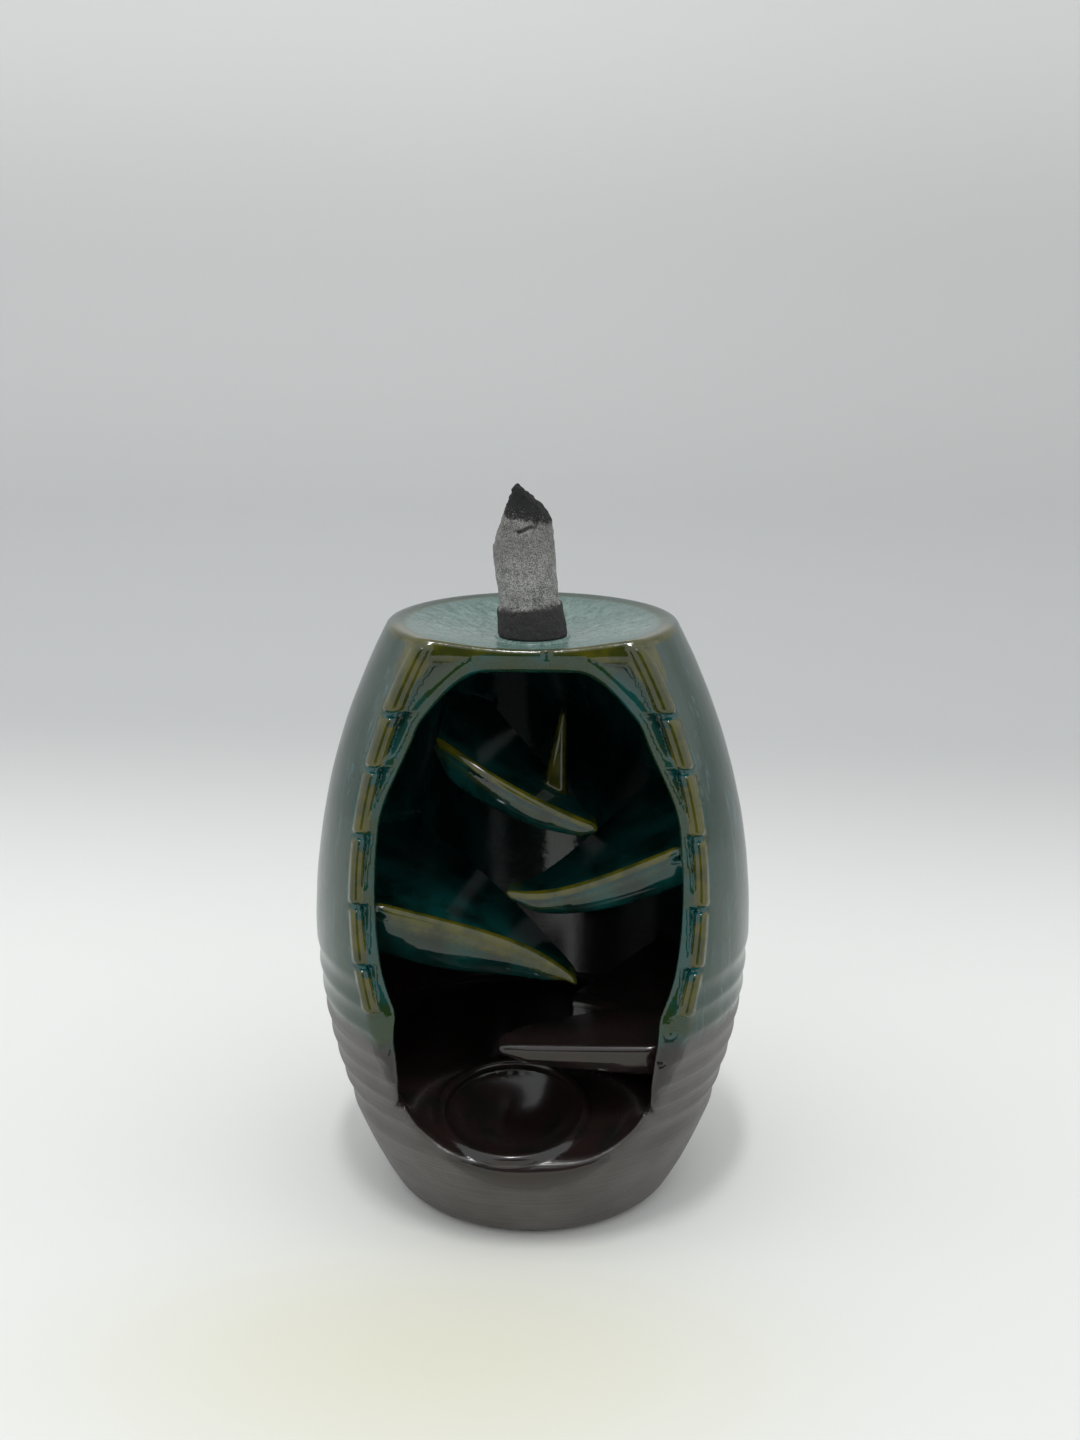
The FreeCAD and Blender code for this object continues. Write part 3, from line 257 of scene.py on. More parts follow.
def stalks(x, y, z):
    """Both bamboo stalks: tapered joints with rounded ends, a gap at every node."""
    across, lean, _ = from_stalk(x, y, z)
    result = None
    for upper, lower in zip(STALK_LEVELS[:-1], STALK_LEVELS[1:]):
        half = (upper - lower - STALK_GAP) / 2
        along = (z - (upper + lower) / 2) / half
        rise = np.clip(0.5 + 0.5 * along, 0.0, 1.0)
        radius = stalk_radius(z) - STALK_TAPER * rise + STALK_BULGE * np.clip(np.abs(along), 0, 1) ** 6
        joint = soft_max(across - radius, (np.abs(along) - 1.0) * half * lean, STALK_END_ROUND)
        result = joint if result is None else np.minimum(result, joint)
    return result


def window_edge(x, y, z, front):
    """Distance to the hollow as the window shows it: its upper corners are fuller near the front."""
    fuller = CORNER_FULLNESS * smooth_step(*CORNER_SIDES, np.abs(x)) - ARCH_LIFT
    fuller = fuller * smooth_step(*ARCH_HEIGHTS, z)
    return hollow(np.hypot(x, y), z) + fuller * smooth_step(*ARCH_DEPTHS, front)


def slot_share(x, y, z, window):
    """1 in the sunk fields of the front: a tapered slot below each node and the spandrels at the top."""
    across, _, side = from_stalk(x, y, z)
    clear_of_stalk = np.where(side < 0, across - stalk_radius(z) + SLOT_OVERLAP, -1.0)
    corner_room = np.minimum(np.minimum(window - BAND_WIDTH, LINTEL_HEIGHT - z), clear_of_stalk)
    share = SPANDREL_SHARE * smooth_step(0.0, SPANDREL_FADE, corner_room) * smooth_step(*SPANDREL_HEIGHTS, z)
    share = share * smooth_step(*SPANDREL_SIDES, np.abs(x))
    for level, below in zip(STALK_LEVELS[1:-1], STALK_LEVELS[2:]):
        fallen = (level - z) / (level - below)
        band = SLOT_BAND + SLOT_BAND_GROWTH * smooth_step(*SLOT_HEIGHTS, level)
        band = band + SLOT_TAPER * np.clip(fallen, 0.0, 1.0)
        wider_head = 0.9 * np.exp(-((fallen - 0.1) / 0.12) ** 2)
        room = np.minimum(window - band, clear_of_stalk + wider_head)
        fades = smooth_step(0.84, 0.62, fallen) * smooth_step(-0.04, 0.03, fallen)
        share = share + smooth_step(0.0, SLOT_FADE, room) * fades
    return np.clip(share, 0.0, 1.0)


def front_relief(x, y, z, window):
    """How deep the front lies: the sunk fields, and a band round the window that leans into it."""
    band = BAND_WIDTH + BAND_GROWTH * smooth_step(*BAND_TOP, z)
    lean = BAND_SLOPE * np.clip(band - window, 0.0, band) * smooth_step(*BAND_FOOT, z)
    return RELIEF_DEPTH * slot_share(x, y, z, window) + lean


def ledge_lip(x, shape):
    """How far along a ledge each point is, from 0 to 1, and where the ledge's lip lies there."""
    start_x, start_y, start_z = shape["start"]
    tip_x, tip_y = shape["tip"]
    along = np.clip((x - start_x) / (tip_x - start_x), 0.0, 1.0)
    lip_y = start_y + (tip_y - start_y) * along - shape["bulge"] * np.sin(math.pi * along)
    lip_z = start_z - shape["fall"] * along - shape["droop"] * along**DROOP_POWER
    return along, lip_y, lip_z


def ledge(x, y, z, shape):
    """A boat-shaped pouring ledge: rounded lip, curved front face, and a tray that rises to the back."""
    start_x = shape["start"][0]
    tip_x, tip_y = shape["tip"]
    along, lip_y, lip_z = ledge_lip(x, shape)
    wave = np.sin(math.pi * along)
    fullness = 1.0 - 0.5 * smooth_step(0.86, 1.0, along)
    if shape["free_end"]:
        fullness = fullness * (0.55 + 0.45 * smooth_step(0.0, 0.14, along))
    face = (shape["root"] * (1 - along) + shape["nose"] * along + shape["belly"] * wave) * fullness
    bead = LIP_RADIUS * fullness
    dip = TRAY_DIP * fullness
    back_y = tip_y + TIP_WIDTH + (BELLY_RADIUS - tip_y) * (1 - along)
    level = lip_z - bead

    # The face is an arc that leaves the lip straight down; the keel below it is level
    depth = bead + face / 2
    arc = (depth**2 + face**2) / (2 * depth)
    hull = np.hypot(y - lip_y - arc, z - level) - arc
    hull = np.where(y > lip_y + arc, -arc, hull)
    body = soft_max(hull, level - face - z, KEEL_ROUND)
    tray_y = lip_y + 1.6 * bead
    tray_rise = (TRAY_RISE * (1 - along) + 0.4) / np.maximum(back_y - tray_y, 1.0)
    tray = (z - level + dip - tray_rise * (y - tray_y)) / np.hypot(1.0, tray_rise)
    body = soft_max(body, tray, 0.6)
    body = np.maximum(body, y - back_y)
    rounded_lip = np.hypot(y - lip_y - bead, z - level) - bead
    body = soft_min(body, rounded_lip, 1.3)
    steepness = math.hypot(1.0, shape["fall"] / abs(tip_x - start_x))
    direction = math.copysign(1.0, tip_x - start_x)
    body = soft_max(body / steepness, (x - tip_x) * direction / steepness, TIP_ROUND)
    if shape["free_end"]:
        body = soft_max(body, (start_x - x) * direction / steepness, FREE_END_ROUND)
    return body


def fin(x, y, z):
    """The thin upright fin on the top ledge."""
    share = np.clip((z - FIN_FOOT) / (FIN_TOP - FIN_FOOT), 0.0, 1.0)
    half = (FIN_THICKNESS + (FIN_EDGE - FIN_THICKNESS) * share) / 2
    front_edge = FIN_FRONT + FIN_LENGTH / 4 * share
    blade = soft_max(np.abs(x - FIN_RIGHT + half) - half, front_edge - y, FIN_ROUND)
    blade = soft_max(blade, y - FIN_FRONT - FIN_LENGTH, FIN_END_ROUND)
    return soft_max(np.maximum(blade, FIN_FOOT - z), z - FIN_TOP, FIN_END_ROUND)


def from_pond(x, y, z):
    """Place in the pond's own leaning frame: to the side, along the slope and up from its level."""
    cx, cy, cz = POND_CENTRE
    dx, dy, dz = x - cx, y - cy, z - cz
    up = -dy * math.sin(POND_TILT) + dz * math.cos(POND_TILT)
    along = dy * math.cos(POND_TILT) + dz * math.sin(POND_TILT)
    return dx, along, up


def pond(x, y, z):
    """The pond's bowl, the ramp round it and the scoop out of the wall: negative where clay is cut away."""
    dx, along, up = from_pond(x, y, z)
    radial = np.hypot(dx, along)
    bowl_radius = (POND_RADIUS**2 + POND_DEPTH**2) / (2 * POND_DEPTH)
    bowl = np.maximum(np.hypot(radial, up - bowl_radius + POND_DEPTH) - bowl_radius, up - 1.0)
    radial = np.hypot(dx - RAMP_SHIFT, along)
    widening = (RAMP_EDGE - RAMP_FOOT) / RAMP_RISE
    ramp = (radial - RAMP_FOOT - widening * up) / math.hypot(1.0, widening)
    ramp = soft_max(ramp, radial - RAMP_EDGE, RAMP_ROUND)
    above = np.maximum(soft_max(ramp, -up, RAMP_ROUND), up - RAMP_REACH)
    scoop = soft_max(radial - RAMP_EDGE, up - SCOOP_REACH, SCOOP_ROUND)
    scoop = np.maximum(np.maximum(scoop, RAMP_RISE - up), -barrel(np.hypot(x, y), z, SCOOP_INSET))
    return np.minimum(soft_min(bowl, above, 1.5), scoop)


def pond_ring(x, y, z):
    """The rounded ring that stands round the pond."""
    dx, along, up = from_pond(x, y, z)
    return np.hypot(np.hypot(dx, along) - POND_RING_RADIUS, up - POND_RING_RISE) - POND_RING_THICKNESS


def wobble(x, y, z):
    """The slight unevenness of a hand-finished casting, only ever inwards."""
    first = np.sin(0.21 * x + 1.3 * np.sin(0.13 * z + 0.4)) * np.sin(0.19 * y + 0.16 * z)
    second = np.sin(0.53 * x - 0.31 * z + 2.0) * np.sin(0.47 * y + 0.38 * z + 0.7)
    return 0.09 + 0.05 * first + 0.03 * second


def casting(x, y, z):
    """Signed distance to the whole glazed casting, negative inside the clay."""
    r = np.hypot(x, y)
    front = before_front(y, z)
    inside_hollow = window_edge(x, y, z, front)

    clay = barrel(r, z)
    for index in range(RING_COUNT):
        level = RING_START + index * RING_PITCH
        centre = float(barrel_radius(np.float64(level))) + RING_CURVE - RING_DEPTH
        clay = soft_max(clay, RING_CURVE - np.hypot(r - centre, z - level), THROWING_ROUND)
    clay = clay + wobble(x, y, z) * smooth_step(4.0, 12.0, z) * smooth_step(HEIGHT, HEIGHT - 6.0, z)
    clay = soft_max(clay, -z, FOOT_ROUND)
    clay = soft_max(clay, z - HEIGHT, RIM_ROUND)
    dish = np.hypot(r, z - DISH_CENTRE) - DISH_ARC
    clay = soft_max(clay, -dish, DISH_ROUND)
    clay = soft_max(clay, front + front_relief(x, y, z, inside_hollow), FRONT_ROUND)
    clay = soft_max(clay, -inside_hollow, WINDOW_ROUND + WINDOW_TOP_ROUND * smooth_step(60.0, 95.0, z))
    clay = soft_min(clay, stalks(x, y, z), STALK_ROUND)

    shelves = ledge(x, y, z, LEDGES[0])
    for shape in LEDGES[1:]:
        shelves = np.minimum(shelves, ledge(x, y, z, shape))
    shelves = soft_min(shelves, fin(x, y, z), 1.0)
    near_front = smooth_step(-10.0, -3.0, front)
    shelves = soft_max(shelves, hollow(r, z, WALL) - 2.0 + 2.3 * near_front, 0.3 + 2.2 * near_front)
    shelves = soft_max(shelves, front + 0.5, 2.0)
    clay = soft_min(clay, shelves, LEDGE_ROUND)
    clay = soft_max(clay, -pond(x, y, z), POND_ROUND)
    clay = soft_min(clay, pond_ring(x, y, z), 1.0)
    for dimple_x, dimple_z, radius in DIMPLES:
        dimple = np.sqrt((x - dimple_x) ** 2 + (z - dimple_z) ** 2 + (front - 0.55 * radius) ** 2)
        clay = soft_max(clay, radius - dimple, 0.5)

    seat = np.maximum(r - SEAT_RADIUS, np.abs(z - SEAT_LEVEL + 1.0) - 1.0)
    clay = soft_min(clay, seat, 0.5)
    hole = np.maximum(r - SMOKE_HOLE_RADIUS, HEIGHT - 20.0 - z)
    clay = soft_max(clay, -hole, 1.0)
    recess = soft_max(r - RECESS_RADIUS, z - RECESS_DEPTH, RECESS_ROUND)
    return soft_max(clay, -recess, 0.8)


def sample(shape, low, step, counts):
    """Distances on a grid. Only the blocks that the surface can cross are worked out point by point."""
    block = 8
    blocks = [-(-count // block) for count in counts]
    centres = [low[a] + step * block * (np.arange(blocks[a]) + 0.5) for a in range(3)]
    coarse = shape(*[g.ravel() for g in np.meshgrid(*centres, indexing="ij")]).reshape(blocks)
    near = np.abs(coarse) < block * step * 0.87 + 2.5
    home = np.ix_(*[np.arange(counts[a]) // block for a in range(3)])
    field = coarse[home].astype(np.float32)
    wanted = np.argwhere(near[home])
    for part in np.array_split(wanted, max(1, len(wanted) // 300000)):
        points = [low[a] + step * part[:, a] for a in range(3)]
        field[part[:, 0], part[:, 1], part[:, 2]] = shape(*points)
    return field


def surface_net(field, low, step):
    """Corners and quads of the surface where a sampled distance is zero."""
    inside = field < 0
    size = [n - 1 for n in field.shape]
    some = np.zeros(size, bool)
    every = np.ones(size, bool)
    for i, j, k in itertools.product((0, 1), repeat=3):
        corner = inside[i:size[0] + i, j:size[1] + j, k:size[2] + k]
        some |= corner
        every &= corner
    active = some & ~every
    cells = np.argwhere(active)
    number = np.full(size, -1)
    number[active] = np.arange(len(cells))

    total = np.zeros((len(cells), 3))
    crossings = np.zeros(len(cells))
    for axis in range(3):
        others = [a for a in range(3) if a != axis]
        for i, j in itertools.product((0, 1), repeat=2):
            start = np.zeros(3, int)
            start[others[0]] = i
            start[others[1]] = j
            end = start.copy()
            end[axis] = 1
            a = field[tuple((cells + start).T)]
            b = field[tuple((cells + end).T)]
            crosses = (a < 0) != (b < 0)
            share = np.where(crosses, a / np.where(crosses, a - b, 1.0), 0.0)
            point = np.tile(start.astype(float), (len(cells), 1))
            point[:, axis] += share
            total[crosses] += point[crosses]
            crossings += crosses
    corners = low + step * (cells + total / crossings[:, None])

    quads = []
    for axis in range(3):
        b, c = (axis + 1) % 3, (axis + 2) % 3
        first = [slice(1, -1)] * 3
        second = [slice(1, -1)] * 3
        first[axis] = slice(0, -1)
        second[axis] = slice(1, None)
        leaves = inside[tuple(first)] & ~inside[tuple(second)]
        enters = ~inside[tuple(first)] & inside[tuple(second)]
        for mask, turned in ((leaves, False), (enters, True)):
            at = np.argwhere(mask)
            ring = []
            for step_b, step_c in ((0, 0), (1, 0), (1, 1), (0, 1)):
                cell = at.copy()
                cell[:, b] += step_b
                cell[:, c] += step_c
                ring.append(number[tuple(cell.T)])
            if turned:
                ring.reverse()
            quads.append(np.stack(ring, 1))
    return corners, np.concatenate(quads)


def slope(shape, points, reach=0.04):
    """Direction in which a distance grows, at each point."""
    grown = []
    for axis in range(3):
        ahead = points.copy()
        behind = points.copy()
        ahead[:, axis] += reach
        behind[:, axis] -= reach
        grown.append((shape(*ahead.T) - shape(*behind.T)) / (2 * reach))
    return np.stack(grown, 1)


def settle(shape, points, rounds=3):
    """Move points onto the surface, and give the directions that face out of it."""
    for _ in range(rounds):
        grown = slope(shape, points)
        size = np.maximum((grown**2).sum(1), 0.2)
        move = -(shape(*points.T) / size)[:, None] * grown
        length = np.maximum(np.linalg.norm(move, axis=1, keepdims=True), 1e-9)
        points = points + move * np.minimum(1.0, 0.3 / length)
    grown = slope(shape, points)
    return points, grown / np.maximum(np.linalg.norm(grown, axis=1, keepdims=True), 1e-9)


def new_object(name, corners, faces):
    """A mesh object from corners in metres and faces of three or four corners."""
    mesh = bpy.data.meshes.new(name)
    mesh.from_pydata([], [], [])
    width = faces.shape[1]
    mesh.vertices.add(len(corners))
    mesh.vertices.foreach_set("co", corners.astype(np.float32).ravel())
    mesh.loops.add(faces.size)
    mesh.loops.foreach_set("vertex_index", faces.astype(np.int32).ravel())
    mesh.polygons.add(len(faces))
    mesh.polygons.foreach_set("loop_start", np.arange(0, faces.size, width, dtype=np.int32))
    mesh.update(calc_edges=True)
    mesh.validate()
    body = bpy.data.objects.new(name, mesh)
    bpy.context.scene.collection.objects.link(body)
    return body


def apply_modifiers(body):
    """Replace the object's mesh by what its modifiers make of it."""
    bpy.context.view_layer.update()
    graph = bpy.context.evaluated_depsgraph_get()
    made = bpy.data.meshes.new_from_object(body.evaluated_get(graph))
    old = body.data
    body.modifiers.clear()
    body.data = made
    bpy.data.meshes.remove(old)
    made.name = body.name


def moulded(name, shape, low, high, step, most_triangles):
    """A smooth mesh of a distance shape: net, fewer faces, corners back on the surface, exact directions."""
    low = np.array(low, float) - 2 * step
    counts = [int(math.ceil((h - a) / step)) + 4 for a, h in zip(low, high)]
    field = sample(shape, low, step, counts)
    corners, quads = surface_net(field, low, step)
    body = new_object(name, corners * MM, quads)
    if 2 * len(quads) > most_triangles:
        fewer = body.modifiers.new("fewer", "DECIMATE")
        fewer.ratio = most_triangles / (2 * len(quads))
        apply_modifiers(body)
    mesh = body.data
    points = np.empty(len(mesh.vertices) * 3)
    mesh.vertices.foreach_get("co", points)
    points, facing = settle(shape, points.reshape(-1, 3) / MM)
    mesh.vertices.foreach_set("co", (points * MM).astype(np.float32).ravel())
    mesh.update()
    mesh.shade_smooth()
    mesh.normals_split_custom_set_from_vertices(facing)
    return body, points, facing


def keep_values(mesh, name, values):
    """Store one number per corner for the material."""
    attribute = mesh.attributes.new(name, "FLOAT", "POINT")
    attribute.data.foreach_set("value", values.astype(np.float32))


def ledge_olive(x, y, z, shape, reach):
    """1 on a ledge's lip, where the glaze runs thin, fading over the reach down its face."""
    _, lip_y, lip_z = ledge_lip(x, shape)
    below = np.clip(lip_z - z - 0.4, 0.0, None)
    behind = np.clip(y - lip_y - 2.2, 0.0, None)
    near = np.exp(-((below / reach) ** 2) - (behind / 1.2) ** 2)
    return near * (z < lip_z + 1.0) * (y > lip_y - 2.0)


def glaze_values(x, y, z):
    """What the glaze's material needs to know at each corner: where it lies and how thin it has run."""
    r = np.hypot(x, y)
    front = before_front(y, z)
    window = window_edge(x, y, z, front)
    bowl = np.hypot(r, z - DISH_CENTRE) - DISH_ARC
    sunk = slot_share(x, y, z, window) * smooth_step(-3.5, -2.0, front)
    on_stalk = (1.0 - smooth_step(0.0, 0.3, stalks(x, y, z))) * (1.0 - 0.8 * sunk)
    dish = (1.0 - smooth_step(0.5, 1.1, np.abs(bowl))) * (1.0 - smooth_step(-1.6, -0.5, r - DISH_RADIUS))
    dish = np.maximum(dish, (z > HEIGHT - DISH_DEPTH - 0.5) * (r < SEAT_RADIUS + 0.5))
    dish = dish * (1.0 - smooth_step(-1.9, -0.7, front)) * (z > 98.0)
    inside = 1.0 - smooth_step(0.1, 0.9, np.minimum(window, pond(x, y, z)))
    front_face = smooth_step(-2.2, -1.2, front) * (1.0 - inside) * (1.0 - dish)
    olive = on_stalk
    for shape, reach in zip(LEDGES[:3], (1.5, 1.3, 3.6)):
        olive = np.maximum(olive, ledge_olive(x, y, z, shape, reach) * (window < 0.5))
    lintel = smooth_step(2.4, 4.0, window) * smooth_step(98.5, 103.4, z) * smooth_step(-3.0, -1.0, front)
    lintel = lintel * (1.0 - dish) * (1.0 - sunk)
    rim = smooth_step(HEIGHT - 2.2, HEIGHT - 0.4, z) * (1.0 - dish) * smooth_step(6.0, -14.0, y)
    blade = 1.0 - smooth_step(0.1, 0.9, fin(x, y, z))
    olive = np.maximum(np.maximum(olive, lintel), np.maximum(rim * 0.9, blade * 0.9))
    node = 0.0
    for level in STALK_LEVELS[1:-1]:
        node = node + np.exp(-(((z - level) / 0.75) ** 2))
    across, _, _ = from_stalk(x, y, z)
    node = np.clip(node, 0, 1) * (across < stalk_radius(z) + 1.2)
    return {"dish": dish, "inside": inside, "front": front_face, "olive": olive, "node": node, "sunk": sunk}


# How fine the meshes are: grid steps in millimetres and the most triangles
CASTING_STEP = 0.5
CASTING_TRIANGLES = 195000
CONE_STEP = 0.25
CONE_TRIANGLES = 60000
GLAZE_REACH = 1.2


def make_burner():
    """The casting, in place of its plain solid."""
    low = (burner_low.x / MM, burner_low.y / MM, 0.0)
    high = (burner_high.x / MM, burner_high.y / MM, HEIGHT)
    step = CASTING_STEP
    body, points, facing = moulded("casting", casting, low, high, step, CASTING_TRIANGLES)
    outside = casting(*(points + facing * GLAZE_REACH).T)
    within = casting(*(points - facing * GLAZE_REACH).T)
    keep_values(body.data, "pooled", np.clip(1.0 - outside / GLAZE_REACH, 0.0, 1.0))
    keep_values(body.data, "thin", np.clip(1.0 + within / GLAZE_REACH, 0.0, 1.0))
    for name, values in glaze_values(*points.T).items():
        keep_values(body.data, name, values)
    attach(body, "root")
    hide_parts("burner_body")
    return body


# The part-burnt cone, leaning to the left on the seat ring
CONE_LEAN = math.radians(5.8)
CONE_BASE_RADIUS = 6.3
CONE_COLLAR_HEIGHT = 5.2
CONE_COLLAR_RADIUS = 5.9
CONE_ASH_RADIUS = 5.25
CONE_LENGTH = 26.7
CONE_HOLE_RADIUS = 1.4
CONE_HOLE_DEPTH = 12.0
CRACK_HEIGHT = 19.4
LATTICE_SIZE = 24
LATTICE = np.random.default_rng(11).random((LATTICE_SIZE, LATTICE_SIZE, LATTICE_SIZE))


def lumps(x, y, z, scale):
    """Smooth random lumps from -1 to 1, from a fixed lattice."""
    spots = [np.asarray(v, float) * scale for v in (x, y, z)]
    floors = [np.floor(v).astype(int) for v in spots]
    shares = [v - f for v, f in zip(spots, floors)]
    shares = [s * s * (3.0 - 2.0 * s) for s in shares]
    total = 0.0
    for i, j, k in itertools.product((0, 1), repeat=3):
        weight = 1.0
        for share, step in zip(shares, (i, j, k)):
            weight = weight * (share if step else 1.0 - share)
        spot = tuple((floor + step) % LATTICE_SIZE for floor, step in zip(floors, (i, j, k)))
        total = total + weight * LATTICE[spot]
    return 2.0 * total - 1.0


def burnt_cone(x, y, z):
    """Distance to the cone: a worn collar, a slim ash body and a tip with flat broken sides."""
    up = z - SEAT_LEVEL
    along = up * math.cos(CONE_LEAN) - x * math.sin(CONE_LEAN)
    across = x * math.cos(CONE_LEAN) + up * math.sin(CONE_LEAN)
    radial = np.hypot(across, y)
    ash_radius = CONE_ASH_RADIUS + 0.25 * smooth_step(6.0, 17.0, along)
    collar_taper = (CONE_COLLAR_RADIUS - CONE_BASE_RADIUS) * along / CONE_COLLAR_HEIGHT
    collar_radius = CONE_BASE_RADIUS - 0.1 + collar_taper
    collar_top = CONE_COLLAR_HEIGHT + 0.3 + 0.5 * lumps(x, y, 3.0 + 0.0 * z, 0.35)
    in_collar = smooth_step(collar_top + 0.5, collar_top - 0.5, along)
    radius = ash_radius + (collar_radius - ash_radius) * in_collar
    rough = 0.10 * lumps(x, y, z, 0.9) + 0.05 * lumps(x + 7.0, y, z, 2.1)
    body = radial - radius + rough
    left_side = (along - CONE_LENGTH) * 0.42 - (across + 0.6) * 0.91
    right_side = (along - CONE_LENGTH) * 0.66 + (across - 0.3) * 0.75
    near_side = (along - CONE_LENGTH + 0.4) * 0.62 - y * 0.78 - 0.9
    far_side = (along - CONE_LENGTH + 0.4) * 0.5 + y * 0.86 - 1.3
    for side in (left_side, right_side, near_side, far_side):
        body = soft_max(body, side + 0.22 * lumps(x, y, z, 1.3), 0.8)
    crack_line = CRACK_HEIGHT + 0.35 * np.sin(1.1 * across) + 0.25 * lumps(x, y, z, 0.7)
    crack = np.hypot(along - crack_line, (y + 5.3) * 0.35)
    crack = np.maximum(crack, np.abs(across - 1.6) * 0.2 - 0.1)
    body = soft_max(body, 0.32 - crack, 0.3)
    hole = np.maximum(radial, along - CONE_HOLE_DEPTH + CONE_HOLE_RADIUS)
    body = soft_max(body, CONE_HOLE_RADIUS - hole, 0.3)
    return soft_max(body / 1.05, 0.04 - up, 0.5)


def make_cone():
    """The incense cone, in place of its plain solid."""
    low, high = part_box("incense_cone")
    step = CONE_STEP
    body, points, _ = moulded("cone", burnt_cone, tuple(low / MM), tuple(high / MM), step, CONE_TRIANGLES)
    x, _, z = points.T
    along = (z - SEAT_LEVEL) * math.cos(CONE_LEAN) - x * math.sin(CONE_LEAN)
    keep_values(body.data, "along", along)
    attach(body, "root")
    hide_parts("incense_cone")
    return body


class Graph:
    """A material and short calls for its nodes."""

    def __init__(self, name):
        self.material = bpy.data.materials.new(name)
        self.material.use_nodes = True
        self.tree = self.material.node_tree
        self.shader = self.tree.nodes["Principled BSDF"]
        coordinates = self.tree.nodes.new("ShaderNodeTexCoord")
        self.place = self.vector("SCALE", coordinates.outputs["Object"], scale=1000.0)
        parts = self.tree.nodes.new("ShaderNodeSeparateXYZ")
        self.feed(parts.inputs[0], self.place)
        self.x, self.y, self.z = parts.outputs

    def feed(self, socket, value):
        if isinstance(value, bpy.types.NodeSocket):
            self.tree.links.new(value, socket)
        else:
            socket.default_value = value

    def vector(self, operation, a, b=None, scale=None):
        node = self.tree.nodes.new("ShaderNodeVectorMath")
        node.operation = operation
        self.feed(node.inputs[0], a)
        if b is not None:
            self.feed(node.inputs[1], b)
        if scale is not None:
            self.feed(node.inputs["Scale"], scale)
        return node.outputs[0]

    def math(self, operation, a, b=0.0, clamp=False):
        node = self.tree.nodes.new("ShaderNodeMath")
        node.operation = operation
        node.use_clamp = clamp
        self.feed(node.inputs[0], a)
        self.feed(node.inputs[1], b)
        return node.outputs[0]

    def times(self, a, b):
        return self.math("MULTIPLY", a, b)

    def plus(self, a, b):
        return self.math("ADD", a, b)

    def minus(self, a, b):
        return self.math("SUBTRACT", a, b)

    def opposite(self, a):
        return self.math("SUBTRACT", 1.0, a, clamp=True)

    def most(self, a, b):
        return self.math("MAXIMUM", a, b)

    def step(self, value, low, high, start=0.0, end=1.0):
        """Smoothly from start to end while the value goes from low to high."""
        node = self.tree.nodes.new("ShaderNodeMapRange")
        node.interpolation_type = "SMOOTHSTEP"
        self.feed(node.inputs["Value"], value)
        node.inputs["From Min"].default_value = low
        node.inputs["From Max"].default_value = high
        node.inputs["To Min"].default_value = start
        node.inputs["To Max"].default_value = end
        return node.outputs[0]

    def blend(self, share, a, b):
        node = self.tree.nodes.new("ShaderNodeMix")
        node.data_type = "RGBA"
        self.feed(node.inputs[0], share)
        self.feed(node.inputs[6], a)
        self.feed(node.inputs[7], b)
        return node.outputs[2]

    def between(self, share, a, b):
        node = self.tree.nodes.new("ShaderNodeMix")
        node.data_type = "FLOAT"
        self.feed(node.inputs[0], share)
        self.feed(node.inputs[2], a)
        self.feed(node.inputs[3], b)
        return node.outputs[0]

    def stretched(self, along_x, along_y, along_z):
        """The place in millimetres, with each direction scaled."""
        return self.vector("MULTIPLY", self.place, (along_x, along_y, along_z))

    def noise(self, place, scale, detail=3.0, roughness=0.55, distortion=0.0):
        node = self.tree.nodes.new("ShaderNodeTexNoise")
        self.feed(node.inputs["Vector"], place)
        node.inputs["Scale"].default_value = scale
        node.inputs["Detail"].default_value = detail
        node.inputs["Roughness"].default_value = roughness
        node.inputs["Distortion"].default_value = distortion
        return node.outputs[0]

    def specks(self, place, scale):
        """Distance to the nearest of many scattered points."""
        node = self.tree.nodes.new("ShaderNodeTexVoronoi")
        self.feed(node.inputs["Vector"], place)
        node.inputs["Scale"].default_value = scale
        return node.outputs["Distance"]

    def value(self, name):
        node = self.tree.nodes.new("ShaderNodeAttribute")
        node.attribute_name = name
        return node.outputs["Fac"]

    def bump(self, height, distance, strength=1.0, normal=None):
        """A bump whose height is a share of the distance, in millimetres."""
        node = self.tree.nodes.new("ShaderNodeBump")
        node.inputs["Strength"].default_value = strength
        node.inputs["Distance"].default_value = distance * MM
        self.feed(node.inputs["Height"], height)
        if normal is not None:
            self.feed(node.inputs["Normal"], normal)
        return node.outputs[0]

    def finish(self, color, roughness, normal):
        self.feed(self.shader.inputs["Base Color"], color)
        self.feed(self.shader.inputs["Roughness"], roughness)
        self.feed(self.shader.inputs["Normal"], normal)
        return self.material


# Colours of the glaze, as linear shares
DEEP_GREEN = (0.0016, 0.0075, 0.0055, 1)
TEAL = (0.0030, 0.0480, 0.0440, 1)
SLOT_TEAL = (0.0015, 0.0280, 0.0200, 1)
SPANDREL_GREEN = (0.0060, 0.0150, 0.0040, 1)
MOSS = (0.0120, 0.0300, 0.0060, 1)
OLIVE = (0.0660, 0.0620, 0.0030, 1)
DARK_OLIVE = (0.0270, 0.0320, 0.0025, 1)
TURQUOISE = (0.0010, 0.0700, 0.0780, 1)
SIDE_GREEN = (0.0100, 0.0340, 0.0230, 1)
SIDE_BLUE = (0.0450, 0.1150, 0.1200, 1)
BARE_BROWN = (0.0440, 0.0370, 0.0330, 1)
# The dull zone's lilac mottling, also used for its painted sheen
BARE_LILAC_AND_SHEEN = (0.0900, 0.0850, 0.0830, 1)
RAMP_BROWN = (0.0160, 0.0095, 0.0090, 1)
DISH_DEEP = (0.0480, 0.1030, 0.0960, 1)
DISH_PALE = (0.1800, 0.2720, 0.2400, 1)
GLAZE_IOR = 1.58


